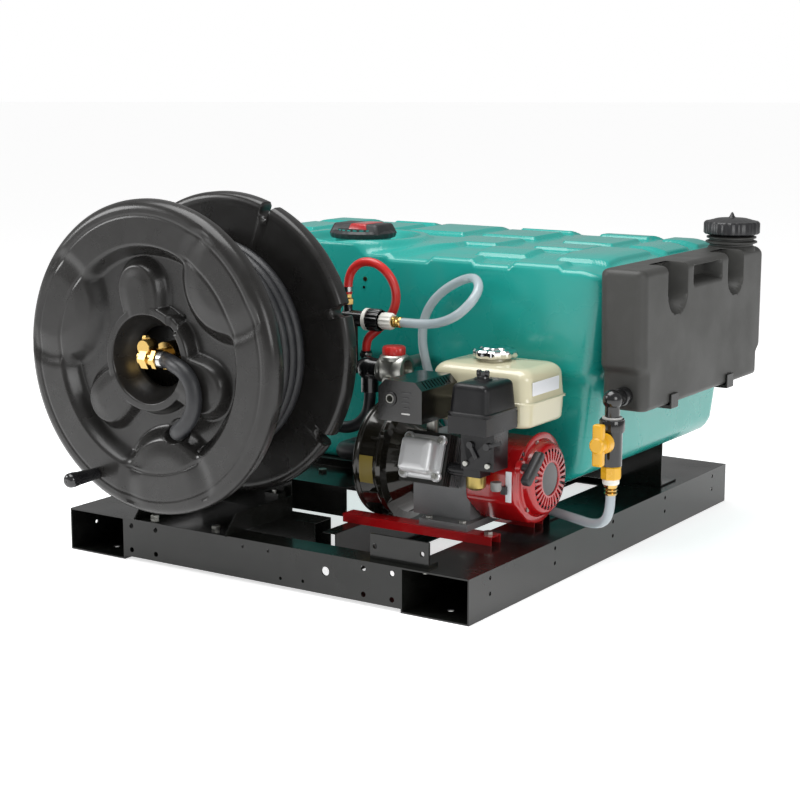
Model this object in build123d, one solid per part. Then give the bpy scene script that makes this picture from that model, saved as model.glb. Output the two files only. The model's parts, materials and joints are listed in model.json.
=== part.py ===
from build123d import *
import math
import os

# Skid-mounted cold pressure washer. Millimetres, +Z up, +X to the operator's right, +Y to the back.
# The origin is the centre of the skid's footprint, on the ground.

# ---- overall sizes ----
SKID_LENGTH = 1180.0
SKID_WIDTH = 1000.0
POCKET_WIDTH = 152.0
POCKET_HEIGHT = 90.0
SKID_WALL = 3.0
TANK_HALF_WIDTH = 535.0
TANK_FRONT = -130.0
TANK_LENGTH = 670.0
TANK_BASE = 158.0
TANK_TOP = 650.0
TANK_WALL = 6.0
TANK_SETBACK = 18.0
REEL_X = -204.0
REEL_Z = 451.0
REEL_RADIUS = 318.0
REEL_DISC_THICKNESS = 40.0
REEL_HOSE_SPACE = 211.0
REEL_FRONT = -675.0
CRANK_Y = -242.0
CRANK_Z = 212.0
PUMP_RADIUS = 124.0
PUMP_LEFT, PUMP_RIGHT = 77.0, 142.0
CHEM_WIDTH = 100.0
CHEM_LENGTH = 605.0
CHEM_BASE = 350.0
CHEM_TOP = 634.0
CHEM_WALL = 4.0

# ---- clearances ----
PIN_PLAY = 0.05
FREE_GAP = 0.5
BOLT_PLAY = 0.2

# ---- cords ----
FEED_HOSE_DIAMETER = 20.0
DOSING_HOSE_DIAMETER = 19.0
JUMPER_HOSE_DIAMETER = 32.0
SUCTION_PIPE_DIAMETER = 38.0
DELIVERY_HOSE_DIAMETER = 26.0
REEL_HOSE_DIAMETER = 28.0
REEL_HOSE_LAYERS = 4
REEL_HOSE_TURNS = 7

os.makedirs("parts", exist_ok=True)


# ---- shaping helpers ----
def block(x0, x1, y0, y1, z0, z1):
    """A box between two corners."""
    centre = Pos((x0 + x1) / 2, (y0 + y1) / 2, (z0 + z1) / 2)
    return centre * Box(abs(x1 - x0), abs(y1 - y0), abs(z1 - z0))


def rod(axis, first, second, radius, start, end):
    """A cylinder along X, Y or Z; first and second are its centre on the other two axes."""
    middle, length = (start + end) / 2, abs(end - start)
    if axis == "X":
        return Pos(middle, first, second) * Rot(0, 90, 0) * Cylinder(radius, length)
    if axis == "Y":
        return Pos(first, middle, second) * Rot(90, 0, 0) * Cylinder(radius, length)
    return Pos(first, second, middle) * Cylinder(radius, length)


def tube(axis, first, second, outer, inner, start, end):
    """A pipe: a cylinder with a through bore."""
    return rod(axis, first, second, outer, start, end) - rod(axis, first, second, inner, start, end)


def prism(axis, outline, start, end):
    """A polygon, given on the two axes other than the named one, extruded from start to end."""
    places = {"X": lambda a, b: (start, a, b), "Y": lambda a, b: (a, start, b), "Z": lambda a, b: (a, b, start)}
    directions = {"X": (1, 0, 0), "Y": (0, 1, 0), "Z": (0, 0, 1)}
    face = make_face(Polyline(*[places[axis](a, b) for a, b in outline], close=True))
    return extrude(face, amount=end - start, dir=directions[axis])


def turned(axis, first, second, outline):
    """A solid of revolution; the outline gives (radius, place along the axis)."""
    if axis == "X":
        face = make_face(Polyline(*[(along, first, second + r) for r, along in outline], close=True))
        return revolve(face, axis=Axis((0, first, second), (1, 0, 0)))
    if axis == "Y":
        face = make_face(Polyline(*[(first, along, second + r) for r, along in outline], close=True))
        return revolve(face, axis=Axis((first, 0, second), (0, 1, 0)))
    face = make_face(Polyline(*[(first + r, second, along) for r, along in outline], close=True))
    return revolve(face, axis=Axis((first, second, 0), (0, 0, 1)))


def save(name, *pieces):
    """Writes one node: a single piece, or a group of separate pieces."""
    shape = pieces[0] if len(pieces) == 1 else Compound(children=[Compound(p.solids()) for p in pieces])
    export_step(shape, f"parts/{name}.step")
    return shape


def hose(name, points, diameter, bore=0.0):
    """A hose along straight runs joined by the largest tangent arcs, square-ended; prints its radii."""
    corners = [Vector(*p) for p in points]
    radii = []
    for before, at, after in zip(corners, corners[1:], corners[2:]):
        turn = math.radians((at - before).get_angle(after - at))
        shorter = min((at - before).length, (after - at).length)
        radii.append(0.45 * shorter / math.tan(turn / 2))
    path = FilletPolyline(*corners, radius=radii)
    ring = Plane(corners[0], z_dir=corners[1] - corners[0]) * Circle(diameter / 2)
    solid = sweep(ring, path=path)
    share = solid.volume / (math.pi * diameter**2 / 4 * path.length)
    print(name, "length", round(path.length), "volume share", round(share, 4), "radii", [round(r) for r in radii])
    return save(name, solid)


def hex_head(x, y, z, across, height):
    """A hexagon standing on z."""
    return Pos(x, y, z) * extrude(RegularPolygon(across / 2, 6, major_radius=False), amount=height)


def bolt(x, y, top, grip, radius):
    """A bolt through a stack that ends at top: head above, nut below."""
    shank = rod("Z", x, y, radius, top - grip - 2.6 * radius, top)
    head = hex_head(x, y, top, 3.4 * radius, 1.3 * radius)
    nut = hex_head(x, y, top - grip - 1.6 * radius, 3.4 * radius, 1.6 * radius)
    return shank + head + nut


# ---- skid ----
skid_front = -SKID_LENGTH / 2
skid_back = SKID_LENGTH / 2
pocket_inner = SKID_WIDTH / 2 - POCKET_WIDTH
pocket_middle = SKID_WIDTH / 2 - POCKET_WIDTH / 2
TIE_DOWN_RADIUS = 7.0
TIE_DOWN_INSET = 60.0
SIDE_HOLE_RADIUS = 4.0
SIDE_HOLE_PITCH = 256.0
SIDE_HOLE_HEIGHTS = (44.0, 75.0)
tie_down_y = skid_back - TIE_DOWN_INSET


def fork_pocket(side):
    """One folded channel of the skid, open at both ends, with tie-down and bumper holes."""
    inner, outer = side * pocket_inner, side * SKID_WIDTH / 2
    shell = block(inner, outer, skid_front, skid_back, 0, POCKET_HEIGHT)
    shell -= block(inner + side * SKID_WALL, outer - side * SKID_WALL, skid_front - 1, skid_back + 1,
                   SKID_WALL, POCKET_HEIGHT - SKID_WALL)
    for y in (-tie_down_y, tie_down_y):
        shell -= rod("Z", side * pocket_middle, y, TIE_DOWN_RADIUS, -1, SKID_WALL + 1)
    for step in range(-2, 3):
        for z in SIDE_HOLE_HEIGHTS:
            across = sorted((outer - 1.5 * side * SKID_WALL, outer + side))
            shell -= rod("X", step * SIDE_HOLE_PITCH, z, SIDE_HOLE_RADIUS, *across)
    return shell


CROSSMEMBER_BASE = 8.0
CROSSMEMBER_FLANGE = 60.0
WEB_BOLT_COLUMNS = (262.0, 328.0)
WEB_BOLT_HEIGHTS = (23.0, 75.0)
WEB_BOLT_RADIUS = 5.5
STAND_BOLTS = ((-284.0, skid_front + 26), (-121.0, skid_front + 26))
BRACKET_BOLTS = ((pocket_inner - 68, skid_front + 38), (pocket_inner + 32, skid_front + 38))
RAIL_BOLTS = ((pocket_inner + 48, -344.0), (pocket_inner + 48, -169.0))
FRAME_BOLT = 5.0


def crossmember(side):
    """A C-section between the fork pockets; side is -1 at the front, +1 at the back."""
    outer = side * SKID_LENGTH / 2
    piece = block(-pocket_inner, pocket_inner, outer, outer - side * CROSSMEMBER_FLANGE,
                  CROSSMEMBER_BASE, POCKET_HEIGHT)
    piece -= block(-pocket_inner - 1, pocket_inner + 1, outer - side * SKID_WALL,
                   outer - side * (CROSSMEMBER_FLANGE + 1), CROSSMEMBER_BASE + SKID_WALL, POCKET_HEIGHT - SKID_WALL)
    web = sorted((outer - 1.5 * side * SKID_WALL, outer + side))
    for column in WEB_BOLT_COLUMNS:
        for x in (-column, column):
            for z in WEB_BOLT_HEIGHTS:
                piece -= rod("Y", x, z, WEB_BOLT_RADIUS, *web)
    if side < 0:
        piece -= rod("Y", 172, 55, 9, *web)
        for x, z in ((-32, 75), (32, 75), (62, 23), (117, 26)):
            piece -= rod("Y", x, z, 3.5, *web)
        for x, y in STAND_BOLTS + BRACKET_BOLTS[:1]:
            piece -= rod("Z", x, y, FRAME_BOLT + BOLT_PLAY, POCKET_HEIGHT - 5, POCKET_HEIGHT + 1)
    return piece


save("left_channel", fork_pocket(-1))
right_channel = fork_pocket(1)
for x, y in BRACKET_BOLTS[1:] + RAIL_BOLTS:
    right_channel -= rod("Z", x, y, FRAME_BOLT + BOLT_PLAY, POCKET_HEIGHT - 5, POCKET_HEIGHT + 1)
save("right_channel", right_channel)
save("front_crossmember", crossmember(-1))
save("rear_crossmember", crossmember(1))

# ---- bearers under the engine and the reel ----
RAIL_START, RAIL_END = 55.0, pocket_inner + 65
RAIL_HEIGHT = 18.0
RAIL_DEPTH = 38.0
RAIL_FRONT_Y, RAIL_REAR_Y = RAIL_BOLTS[0][1], RAIL_BOLTS[1][1]
BEARER_FLANGE = 33.0
BEARER_FRONT = -452.0
bearer_back = SKID_LENGTH / 2 - CROSSMEMBER_FLANGE
rail_top = POCKET_HEIGHT + RAIL_HEIGHT


BEARER_WEB = 100.0
bearer = block(BEARER_WEB - SKID_WALL, BEARER_WEB, BEARER_FRONT, bearer_back, CROSSMEMBER_BASE, POCKET_HEIGHT)
bearer += block(BEARER_WEB - BEARER_FLANGE, BEARER_WEB, BEARER_FRONT, bearer_back,
                POCKET_HEIGHT - SKID_WALL, POCKET_HEIGHT)
bearer += block(BEARER_WEB - SKID_WALL, BEARER_WEB + BEARER_FLANGE, BEARER_FRONT, bearer_back,
                CROSSMEMBER_BASE, CROSSMEMBER_BASE + SKID_WALL)
reel_beam = block(-pocket_inner, 14, -407, -347, CROSSMEMBER_BASE, POCKET_HEIGHT)
reel_beam -= block(-pocket_inner - 1, 15, -407 + SKID_WALL, -347 - SKID_WALL,
                   CROSSMEMBER_BASE + SKID_WALL, POCKET_HEIGHT - SKID_WALL)
save("cross_bearers", bearer, reel_beam)

FOOT_BOLT_XS = (256.0, 336.0)
ENGINE_BOLT = 4.0


def engine_rail(y):
    """A red folded rail, open below, that carries two engine feet."""
    rail = block(RAIL_START, RAIL_END, y - RAIL_DEPTH / 2, y + RAIL_DEPTH / 2, POCKET_HEIGHT, rail_top)
    rail -= block(RAIL_START - 1, RAIL_END + 1, y - RAIL_DEPTH / 2 + SKID_WALL, y + RAIL_DEPTH / 2 - SKID_WALL,
                  POCKET_HEIGHT - 1, rail_top - SKID_WALL)
    for x in FOOT_BOLT_XS:
        rail -= rod("Z", x, y, ENGINE_BOLT + BOLT_PLAY, rail_top - 5, rail_top + 1)
    rail -= rod("Z", RAIL_BOLTS[0][0], y, FRAME_BOLT + BOLT_PLAY, rail_top - 5, rail_top + 1)
    return rail - rod("X", CRANK_Y, CRANK_Z, PUMP_RADIUS + 4, PUMP_LEFT - 4, PUMP_RIGHT + 14)


save("engine_rails", engine_rail(RAIL_FRONT_Y), engine_rail(RAIL_REAR_Y))

# ---- tank bearers: cradle plates that follow the tank's base ----
TANK_BASE_HALF = 400.0
TANK_CORNER_HALF, TANK_CORNER_Z = 468.0, 191.0
BEARER_TOP_HALF = 475.0
cradle = [(-BEARER_TOP_HALF, POCKET_HEIGHT), (BEARER_TOP_HALF, POCKET_HEIGHT),
          (BEARER_TOP_HALF, TANK_CORNER_Z - FREE_GAP), (TANK_CORNER_HALF, TANK_CORNER_Z - FREE_GAP),
          (TANK_BASE_HALF, TANK_BASE), (-TANK_BASE_HALF, TANK_BASE),
          (-TANK_CORNER_HALF, TANK_CORNER_Z - FREE_GAP), (-BEARER_TOP_HALF, TANK_CORNER_Z - FREE_GAP)]
rear_bearer = prism("Y", cradle, 286, 366)
rear_bearer -= block(-BEARER_TOP_HALF - 1, BEARER_TOP_HALF + 1, 290, 367, POCKET_HEIGHT + 4, TANK_BASE - 4)
for side in (-1, 1):
    rear_bearer -= block(side * (TANK_BASE_HALF - 4), side * (BEARER_TOP_HALF + 1), 290, 367,
                         POCKET_HEIGHT + 4, TANK_CORNER_Z + 5)
front_bearer = block(-BEARER_TOP_HALF, pocket_inner + 67, -126, -56, POCKET_HEIGHT, TANK_BASE)
front_bearer -= block(-BEARER_TOP_HALF - 1, pocket_inner + 68, -122, -55, POCKET_HEIGHT + 4, TANK_BASE - 4)
save("tank_bearers", front_bearer, rear_bearer)

# ---- folded shelf in front of the tank, and the lifting bracket ----
SHELF_FRONT, SHELF_STEP, SHELF_BACK = -329.0, -173.0, -130.0
SHELF_END = 40.0
SHELF_TOP = 154.0
shelf = block(-pocket_inner - 100, SHELF_END, SHELF_FRONT, SHELF_BACK, POCKET_HEIGHT, SHELF_TOP)
shelf -= block(-pocket_inner - 101, SHELF_END + 1, SHELF_FRONT + SKID_WALL, SHELF_BACK + 1,
               POCKET_HEIGHT - 1, SHELF_TOP - SKID_WALL)
shelf += block(-pocket_inner - 100, SHELF_END, SHELF_STEP - SKID_WALL, SHELF_STEP, SHELF_TOP - 1, SHELF_TOP + 16)
SHELF_BOLTS = ((-88.0, -235.0), (-240.0, -235.0))
for x, y in SHELF_BOLTS:
    shelf -= rod("Z", x, y, FRAME_BOLT + BOLT_PLAY, SHELF_TOP - 5, SHELF_TOP + 1)
save("front_shelf", shelf)

BRACKET_Y = skid_front + 22
bracket_left, bracket_right = pocket_inner - 85, pocket_inner + 49
bracket = block(bracket_left, bracket_right, BRACKET_Y, BRACKET_Y + 6, POCKET_HEIGHT, POCKET_HEIGHT + 50)
bracket += block(bracket_left, bracket_right, BRACKET_Y, BRACKET_Y + 34, POCKET_HEIGHT, POCKET_HEIGHT + 6)
for x in (bracket_left + 11, bracket_right - 15):
    bracket -= rod("Y", x, POCKET_HEIGHT + 26, 5, BRACKET_Y - 1, BRACKET_Y + 7)
for x, y in BRACKET_BOLTS:
    bracket -= rod("Z", x, y, FRAME_BOLT + BOLT_PLAY, POCKET_HEIGHT - 1, POCKET_HEIGHT + 7)
save("lift_bracket", bracket)

# ---- reel stand, with the hollow spindle welded to its back plate ----
STAND_LEFT, STAND_RIGHT = -314.0, -69.0
STAND_BACK = -371.0
STAND_WALL = 39.0
SPINDLE_RADIUS = 19.0
SPINDLE_BORE = 12.0
SPINDLE_END = -602.0
LOCK_X, LOCK_Y = -90.0, -407.0
LOCK_PIN_RADIUS = 5.0
LOCK_TRAVEL = 12.0
reel_bottom_at_lock = REEL_Z - math.sqrt(REEL_RADIUS**2 - (LOCK_X - REEL_X) ** 2)
side_outline = [(skid_front - 10, POCKET_HEIGHT + 3), (-563, POCKET_HEIGHT + 3 + STAND_WALL),
                (STAND_BACK, POCKET_HEIGHT + 3 + STAND_WALL), (STAND_BACK, POCKET_HEIGHT + 3)]
stand = block(STAND_LEFT, STAND_RIGHT, skid_front - 10, STAND_BACK, POCKET_HEIGHT, POCKET_HEIGHT + SKID_WALL)
stand += prism("X", side_outline, STAND_LEFT, STAND_LEFT + SKID_WALL)
stand += prism("X", side_outline, STAND_RIGHT - SKID_WALL, STAND_RIGHT)
back_outline = [(STAND_LEFT, POCKET_HEIGHT), (STAND_RIGHT, POCKET_HEIGHT), (STAND_RIGHT, 190),
                (REEL_X + 62, REEL_Z + 55), (REEL_X - 62, REEL_Z + 55), (STAND_LEFT, 190)]
stand += prism("Y", back_outline, STAND_BACK - SKID_WALL, STAND_BACK)
stand += rod("Y", REEL_X, REEL_Z, SPINDLE_RADIUS, SPINDLE_END, STAND_BACK)
stand += rod("Y", REEL_X, REEL_Z, 45, STAND_BACK - 11, STAND_BACK)
stand += rod("Y", REEL_X, REEL_Z, 17, STAND_BACK - 1, STAND_BACK + 22)
stand -= rod("Y", REEL_X, REEL_Z, SPINDLE_BORE, SPINDLE_END - 1, STAND_BACK + 23)
stand += block(LOCK_X - 14, STAND_RIGHT - 1, LOCK_Y - 14, LOCK_Y + 14, 120, 132 + 12)
stand -= rod("Z", LOCK_X, LOCK_Y, LOCK_PIN_RADIUS + PIN_PLAY, 110, 150)
for x, y in STAND_BOLTS:
    stand -= rod("Z", x, y, FRAME_BOLT + BOLT_PLAY, POCKET_HEIGHT - 1, POCKET_HEIGHT + 5)
save("reel_stand", stand)

lock_pin = rod("Z", LOCK_X, LOCK_Y, LOCK_PIN_RADIUS, 108, reel_bottom_at_lock - 6)
lock_pin += rod("Y", LOCK_X, 113, 4, LOCK_Y - 44, LOCK_Y)
save("lock_pin", lock_pin)

# ---- reel ----
disc_back = REEL_FRONT + REEL_DISC_THICKNESS
rear_disc_front = disc_back + REEL_HOSE_SPACE
rear_disc_back = rear_disc_front + 35
DRUM_RADIUS, DRUM_WALL = 120.0, 6.0
HUB_RADIUS, HUB_RING = 80.0, 103.0
HUB_FRONT = REEL_FRONT + 13
LOBE_HEIGHT = 10.0
HOSE_HOLE_X, HOSE_HOLE_Z = -133.0, 309.0
RECESS_RADIUS, RECESS_DEPTH = 223.0, 22.0
GRIP_RADIUS_AT = 284.0
GRIP_ANGLE = math.radians(-119)
GRIP_LENGTH, GRIP_RADIUS, STUD_RADIUS = 90.0, 14.0, 5.0
grip_x = REEL_X + GRIP_RADIUS_AT * math.cos(GRIP_ANGLE)
grip_z = REEL_Z + GRIP_RADIUS_AT * math.sin(GRIP_ANGLE)
NOTCH_COUNT, FIRST_NOTCH, NOTCH_WIDTH, NOTCH_DEPTH = 7, 17.0, 22.0, 26.0

front_disc = turned("Y", REEL_X, REEL_Z, [
    (HUB_RADIUS, HUB_FRONT), (HUB_RING, HUB_FRONT), (HUB_RING + 6, REEL_FRONT + RECESS_DEPTH),
    (RECESS_RADIUS - 14, REEL_FRONT + RECESS_DEPTH), (RECESS_RADIUS, REEL_FRONT + 3),
    (REEL_RADIUS * 0.9, REEL_FRONT), (REEL_RADIUS - 5, REEL_FRONT + 14), (REEL_RADIUS, REEL_FRONT + 20),
    (REEL_RADIUS, disc_back - 6), (REEL_RADIUS - 6, disc_back), (HUB_RADIUS, disc_back)])
for number in range(3):
    lobe = block(HUB_RING - 12, 176, -22, 22, 0, LOBE_HEIGHT)
    lobe += Pos(176, 0, LOBE_HEIGHT / 2) * Cylinder(22, LOBE_HEIGHT)
    turn = 90 + 120 * number
    front_disc += Pos(REEL_X, REEL_FRONT + RECESS_DEPTH + 1, REEL_Z) * Rot(90, 0, 0) * Rot(0, 0, turn) * lobe
front_disc += rod("Y", grip_x, grip_z, STUD_RADIUS, REEL_FRONT - GRIP_LENGTH + 12, REEL_FRONT + 5)
front_disc -= rod("Y", HOSE_HOLE_X, HOSE_HOLE_Z, JUMPER_HOSE_DIAMETER / 2 + 1, REEL_FRONT, disc_back + 1)
save("front_disc", front_disc)

rear_disc = turned("Y", REEL_X, REEL_Z, [
    (DRUM_RADIUS + PIN_PLAY, rear_disc_front), (REEL_RADIUS - 8, rear_disc_front), (REEL_RADIUS, rear_disc_front + 8),
    (REEL_RADIUS, rear_disc_back - 10), (REEL_RADIUS - 8, rear_disc_back), (DRUM_RADIUS + PIN_PLAY, rear_disc_back)])
for number in range(NOTCH_COUNT):
    angle = FIRST_NOTCH + 360 / NOTCH_COUNT * number
    notch = block(REEL_RADIUS - NOTCH_DEPTH + NOTCH_WIDTH / 2, REEL_RADIUS + 5, -NOTCH_WIDTH / 2, NOTCH_WIDTH / 2,
                  -30, 30)
    notch += Pos(REEL_RADIUS - NOTCH_DEPTH + NOTCH_WIDTH / 2, 0, 0) * Cylinder(NOTCH_WIDTH / 2, 60)
    rear_disc -= Pos(REEL_X, (rear_disc_front + rear_disc_back) / 2, REEL_Z) * Rot(90, 0, 0) * Rot(0, 0, angle) * notch
save("rear_disc", rear_disc)

drum = tube("Y", REEL_X, REEL_Z, DRUM_RADIUS, DRUM_RADIUS - DRUM_WALL, disc_back, rear_disc_back)
for start in (disc_back + 60, rear_disc_front):
    drum += tube("Y", REEL_X, REEL_Z, DRUM_RADIUS - 1, SPINDLE_RADIUS + PIN_PLAY, start, start + 8)
    drum += tube("Y", REEL_X, REEL_Z, SPINDLE_RADIUS + 8, SPINDLE_RADIUS + PIN_PLAY, start, start + 24)
save("reel_drum", drum)

coil_front = disc_back + (REEL_HOSE_SPACE - REEL_HOSE_TURNS * REEL_HOSE_DIAMETER) / 2
coil_outer = DRUM_RADIUS + REEL_HOSE_LAYERS * REEL_HOSE_DIAMETER
save("wound_hose", tube("Y", REEL_X, REEL_Z, coil_outer, DRUM_RADIUS, coil_front,
                        coil_front + REEL_HOSE_TURNS * REEL_HOSE_DIAMETER))

# The brass swivel turns with the reel on the spindle's nose; its tail leads to the jumper hose.
SWIVEL_FRONT = -654.0
swivel = tube("Y", REEL_X, REEL_Z, SPINDLE_RADIUS + 9, SPINDLE_RADIUS + PIN_PLAY, SPINDLE_END + 2, SPINDLE_END + 20)
swivel += rod("Y", REEL_X, REEL_Z, 16, SWIVEL_FRONT, SPINDLE_END - FREE_GAP)
swivel += tube("Y", REEL_X, REEL_Z, SPINDLE_RADIUS + 9, SPINDLE_RADIUS + 1, SPINDLE_END - 4, SPINDLE_END + 2)
swivel += rod("Y", REEL_X, REEL_Z, SPINDLE_RADIUS + 9, SPINDLE_END - 12, SPINDLE_END - 4)
swivel += rod("X", SWIVEL_FRONT, REEL_Z, 17, REEL_X - 26, REEL_X + 20)
save("reel_swivel", swivel)

JUMPER_HOSE_ROUTE = [
    (REEL_X + 20, SWIVEL_FRONT, REEL_Z), (REEL_X + 42, SWIVEL_FRONT, REEL_Z), (-127, -681, 451), (-91, -687, 439),
    (-70, -688, 409), (-69, -688, 371), (-85, -688, 339), (-113, -687, 319), (HOSE_HOLE_X, -666, HOSE_HOLE_Z),
    (HOSE_HOLE_X, coil_front, HOSE_HOLE_Z)]
hose("jumper_hose", JUMPER_HOSE_ROUTE, JUMPER_HOSE_DIAMETER)

grip = turned("Y", grip_x, grip_z, [
    (STUD_RADIUS + PIN_PLAY, REEL_FRONT - FREE_GAP), (GRIP_RADIUS - 3, REEL_FRONT - FREE_GAP),
    (GRIP_RADIUS, REEL_FRONT - GRIP_LENGTH + 12), (GRIP_RADIUS - 5, REEL_FRONT - GRIP_LENGTH + 2),
    (0, REEL_FRONT - GRIP_LENGTH), (0, REEL_FRONT - GRIP_LENGTH + 10),
    (STUD_RADIUS + PIN_PLAY, REEL_FRONT - GRIP_LENGTH + 10)])
save("crank_grip", grip)

# ---- water tank ----
tank_back = TANK_FRONT + TANK_LENGTH
lower_front = TANK_FRONT + TANK_SETBACK
WAIST_Z = 390.0


def tank_body(inset):
    """The tank's outline seen from the front, extruded to the back; inset makes the inside."""
    profile = [(TANK_BASE_HALF, TANK_BASE), (TANK_CORNER_HALF, TANK_CORNER_Z), (TANK_CORNER_HALF + 20, 214),
               (TANK_HALF_WIDTH, 560), (TANK_HALF_WIDTH, TANK_TOP - 40), (TANK_HALF_WIDTH - 30, TANK_TOP)]
    right = [(x - inset, z + (inset if z < 250 else 0) - (inset if z == TANK_TOP else 0)) for x, z in profile]
    left = [(-x, z) for x, z in reversed(right)]
    shape = prism("Y", right + left, TANK_FRONT + inset, tank_back - inset)
    lower = TANK_FRONT + TANK_SETBACK + inset
    step = [(TANK_FRONT - 1, 0), (lower, 0), (lower, WAIST_Z - 8), (TANK_FRONT + inset, WAIST_Z + 8 + inset / 2),
            (TANK_FRONT - 1, WAIST_Z + 8 + inset / 2)]
    shape -= prism("X", step, -TANK_HALF_WIDTH - 1, TANK_HALF_WIDTH + 1)
    slope = 45 - inset
    top, wide = TANK_TOP - inset, TANK_HALF_WIDTH + 1
    for edge, into in ((TANK_FRONT + inset, 1), (tank_back - inset, -1)):
        wedge = [(edge - into, top - slope * 0.8), (edge + into * slope, top + 1), (edge - into, top + 1)]
        shape -= prism("X", wedge, -wide, wide)
    return shape


FILLER_X, FILLER_Y = -140.0, 0.0
NECK_RADIUS, NECK_HEIGHT = 58.0, 14.0
LID_RADIUS, LID_TOP = 68.0, 674.0
tank = tank_body(0) - tank_body(TANK_WALL)
tank += rod("Z", FILLER_X, FILLER_Y, NECK_RADIUS, TANK_TOP - TANK_WALL, TANK_TOP + NECK_HEIGHT)
tank -= rod("Z", FILLER_X, FILLER_Y, NECK_RADIUS - 6, TANK_TOP - 2 * TANK_WALL, TANK_TOP + NECK_HEIGHT + 1)
SUCTION_X, SUCTION_Z = -70.0, 196.0
tank += rod("Y", SUCTION_X, SUCTION_Z, 24, lower_front - 14, lower_front + 3)
tank -= rod("Y", SUCTION_X, SUCTION_Z, 14, lower_front - 15, lower_front + TANK_WALL + 1)
save("water_tank", tank)

lid = rod("Z", FILLER_X, FILLER_Y, LID_RADIUS, TANK_TOP + 1, LID_TOP)
lid -= rod("Z", FILLER_X, FILLER_Y, NECK_RADIUS + FREE_GAP, TANK_TOP, TANK_TOP + NECK_HEIGHT + FREE_GAP)
lid += block(FILLER_X - 56, FILLER_X + 56, FILLER_Y - 9, FILLER_Y + 9, LID_TOP - 1, LID_TOP + 6)
save("tank_lid", lid)

# ---- chemical tank, its cap and hooks ----
chem_inner = TANK_HALF_WIDTH + 10
chem_outer = chem_inner + CHEM_WIDTH
CHEM_FRONT = -180.0
chem_back = CHEM_FRONT + CHEM_LENGTH
CHEM_NECK_Y = 355.0
GRIP_FROM, GRIP_TO, GRIP_POCKET = 55.0, 192.0, 34.0
CHEM_NECK_RADIUS = 44.0
chem_x = (chem_inner + chem_outer) / 2


def chem_body(inset):
    """The side tank: a flat box whose lower third is set back at the front."""
    outline = [(CHEM_FRONT + 14 + inset, CHEM_BASE + inset), (chem_back - 24 - inset, CHEM_BASE + inset),
               (chem_back - 24 - inset, 398), (chem_back - inset, 418), (chem_back - inset, CHEM_TOP - 30 - inset), (chem_back - 40 - inset, CHEM_TOP - inset),
               (CHEM_FRONT + 16 + inset, CHEM_TOP - inset), (CHEM_FRONT + inset, CHEM_TOP - 16 - inset),
               (CHEM_FRONT + inset, 446), (CHEM_FRONT + 14 + inset, 432)]
    return prism("X", outline, chem_inner + inset, chem_outer - inset)


VALVE_X, VALVE_Y = 600.0, -215.0
OUTLET_Z = 382.0
chem_tank = chem_body(0) - chem_body(CHEM_WALL)
grip_low, grip_high = CHEM_TOP - 52, CHEM_TOP - 14
chem_tank -= block(chem_outer - GRIP_POCKET, chem_outer + 1, GRIP_FROM, GRIP_TO, grip_low, grip_high)
chem_tank += block(chem_outer - GRIP_POCKET - CHEM_WALL, chem_outer - GRIP_POCKET, GRIP_FROM - CHEM_WALL,
                   GRIP_TO + CHEM_WALL, grip_low - CHEM_WALL, grip_high + CHEM_WALL)
for low, high in ((grip_low - CHEM_WALL, grip_low), (grip_high, grip_high + CHEM_WALL)):
    chem_tank += block(chem_outer - GRIP_POCKET - CHEM_WALL, chem_outer, GRIP_FROM - CHEM_WALL,
                       GRIP_TO + CHEM_WALL, low, high)
for low, high in ((GRIP_FROM - CHEM_WALL, GRIP_FROM), (GRIP_TO, GRIP_TO + CHEM_WALL)):
    chem_tank += block(chem_outer - GRIP_POCKET - CHEM_WALL, chem_outer, low, high, grip_low - CHEM_WALL,
                       grip_high + CHEM_WALL)
chem_tank += rod("Z", chem_x, CHEM_NECK_Y, CHEM_NECK_RADIUS, CHEM_TOP - CHEM_WALL, CHEM_TOP + 28)
chem_tank -= rod("Z", chem_x, CHEM_NECK_Y, CHEM_NECK_RADIUS - 5, CHEM_TOP - 2 * CHEM_WALL, CHEM_TOP + 29)
chem_tank += rod("Y", VALVE_X, OUTLET_Z, 20, CHEM_FRONT + 8, CHEM_FRONT + 16)
chem_tank -= rod("Y", VALVE_X, OUTLET_Z, 9, CHEM_FRONT + 7, CHEM_FRONT + 15 + CHEM_WALL)
save("chemical_tank", chem_tank)

CHEM_CAP_RADIUS, CHEM_CAP_TOP = 57.0, 704.0
cap = rod("Z", chem_x, CHEM_NECK_Y, CHEM_CAP_RADIUS, CHEM_TOP + 24, CHEM_CAP_TOP)
cap -= rod("Z", chem_x, CHEM_NECK_Y, CHEM_NECK_RADIUS + FREE_GAP, CHEM_TOP + 23, CHEM_TOP + 28 + FREE_GAP)
cap += Pos(chem_x, CHEM_NECK_Y, CHEM_CAP_TOP + 4) * Cone(7, 3, 10)
save("chemical_cap", cap)


tank_side = TANK_CORNER_HALF + 20 + (CHEM_BASE - 214) * (TANK_HALF_WIDTH - TANK_CORNER_HALF - 20) / 346


def tank_hook(y):
    """A hook from the water tank's side that carries the chemical tank's lower edge."""
    arm = block(tank_side, chem_outer + 5, y - 17, y + 17, CHEM_BASE - 8, CHEM_BASE)
    return arm + block(chem_outer + FREE_GAP, chem_outer + 5, y - 17, y + 17, CHEM_BASE - 1, CHEM_BASE + 22)


save("tank_hooks", tank_hook(-34), tank_hook(247))

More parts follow.
